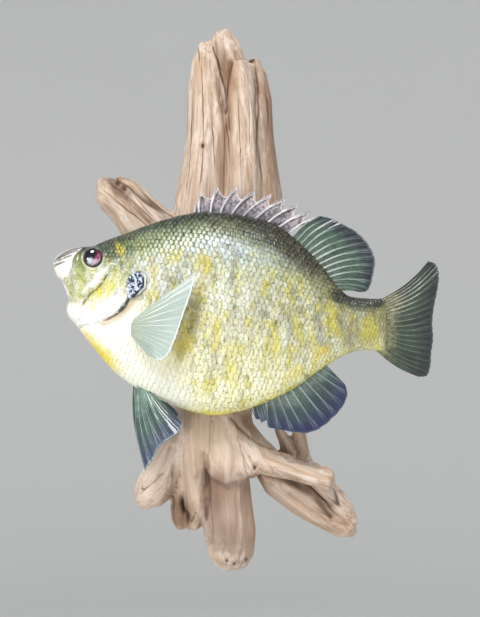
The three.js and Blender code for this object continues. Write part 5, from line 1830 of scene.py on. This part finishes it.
class SUNFISH_OT_skin(bpy.types.Operator):
    """Makes the fish's skin in place of the flesh"""

    bl_idname = "sunfish.skin"
    bl_label = "Skin"

    def execute(self, context):
        make_paint_group(context.scene.sunfish_look)
        make_skin(context.scene.sunfish_look)
        return {"FINISHED"}


class SUNFISH_OT_scales(bpy.types.Operator):
    """Lays the scales over the skin"""

    bl_idname = "sunfish.scales"
    bl_label = "Scales"

    def execute(self, context):
        make_scales(context.scene.sunfish_look)
        return {"FINISHED"}


class SUNFISH_OT_eyes(bpy.types.Operator):
    """Sets the glass eyes and the ear flaps"""

    bl_idname = "sunfish.eyes"
    bl_label = "Eyes and ear flaps"

    def execute(self, context):
        make_eyes(context.scene.sunfish_look)
        make_ear_flaps()
        return {"FINISHED"}


class SUNFISH_OT_fins(bpy.types.Operator):
    """Makes the webbed and spined fins"""

    bl_idname = "sunfish.fins"
    bl_label = "Fins"

    def execute(self, context):
        make_fins(context.scene.sunfish_look)
        return {"FINISHED"}


class SUNFISH_OT_driftwood(bpy.types.Operator):
    """Weathers the driftwood"""

    bl_idname = "sunfish.driftwood"
    bl_label = "Driftwood"

    def execute(self, context):
        make_driftwood(context.scene.driftwood_look)
        return {"FINISHED"}


class SUNFISH_OT_stage(bpy.types.Operator):
    """Sets the bowl, the lights and the camera"""

    bl_idname = "sunfish.stage"
    bl_label = "Stage"

    def execute(self, context):
        make_stage(context.scene.stage_look)
        return {"FINISHED"}


class SUNFISH_PT_panel(bpy.types.Panel):
    """Lists the pieces and their settings"""

    bl_idname = "SUNFISH_PT_panel"
    bl_label = "Mounted Sunfish"
    bl_space_type = "VIEW_3D"
    bl_region_type = "UI"
    bl_category = "Sunfish"

    def draw(self, context):
        for group, operators in PANEL_PARTS:
            box = self.layout.box()
            settings = getattr(context.scene, group)
            for name in settings.__annotations__:
                box.prop(settings, name)
            for operator in operators:
                box.operator(operator)


PANEL_PARTS = [
    ("sunfish_look", ["sunfish.skin", "sunfish.scales", "sunfish.eyes", "sunfish.fins"]),
    ("driftwood_look", ["sunfish.driftwood"]),
    ("stage_look", ["sunfish.stage"]),
]
SETTINGS = {"sunfish_look": FishLook, "driftwood_look": WoodLook, "stage_look": StageLook}
CLASSES = (
    FishLook, WoodLook, StageLook, SUNFISH_OT_skin, SUNFISH_OT_scales, SUNFISH_OT_eyes, SUNFISH_OT_fins,
    SUNFISH_OT_driftwood, SUNFISH_OT_stage, SUNFISH_PT_panel,
)


def register():
    for made in CLASSES:
        bpy.utils.register_class(made)
    for name, group in SETTINGS.items():
        setattr(bpy.types.Scene, name, PointerProperty(type=group))


def unregister():
    for name in SETTINGS:
        delattr(bpy.types.Scene, name)
    for made in reversed(CLASSES):
        bpy.utils.unregister_class(made)


def main():
    register()
    bpy.ops.sunfish.skin()
    bpy.ops.sunfish.scales()
    bpy.ops.sunfish.eyes()
    bpy.ops.sunfish.fins()
    bpy.ops.sunfish.driftwood()
    bpy.ops.sunfish.stage()


if __name__ == "__main__":
    main()
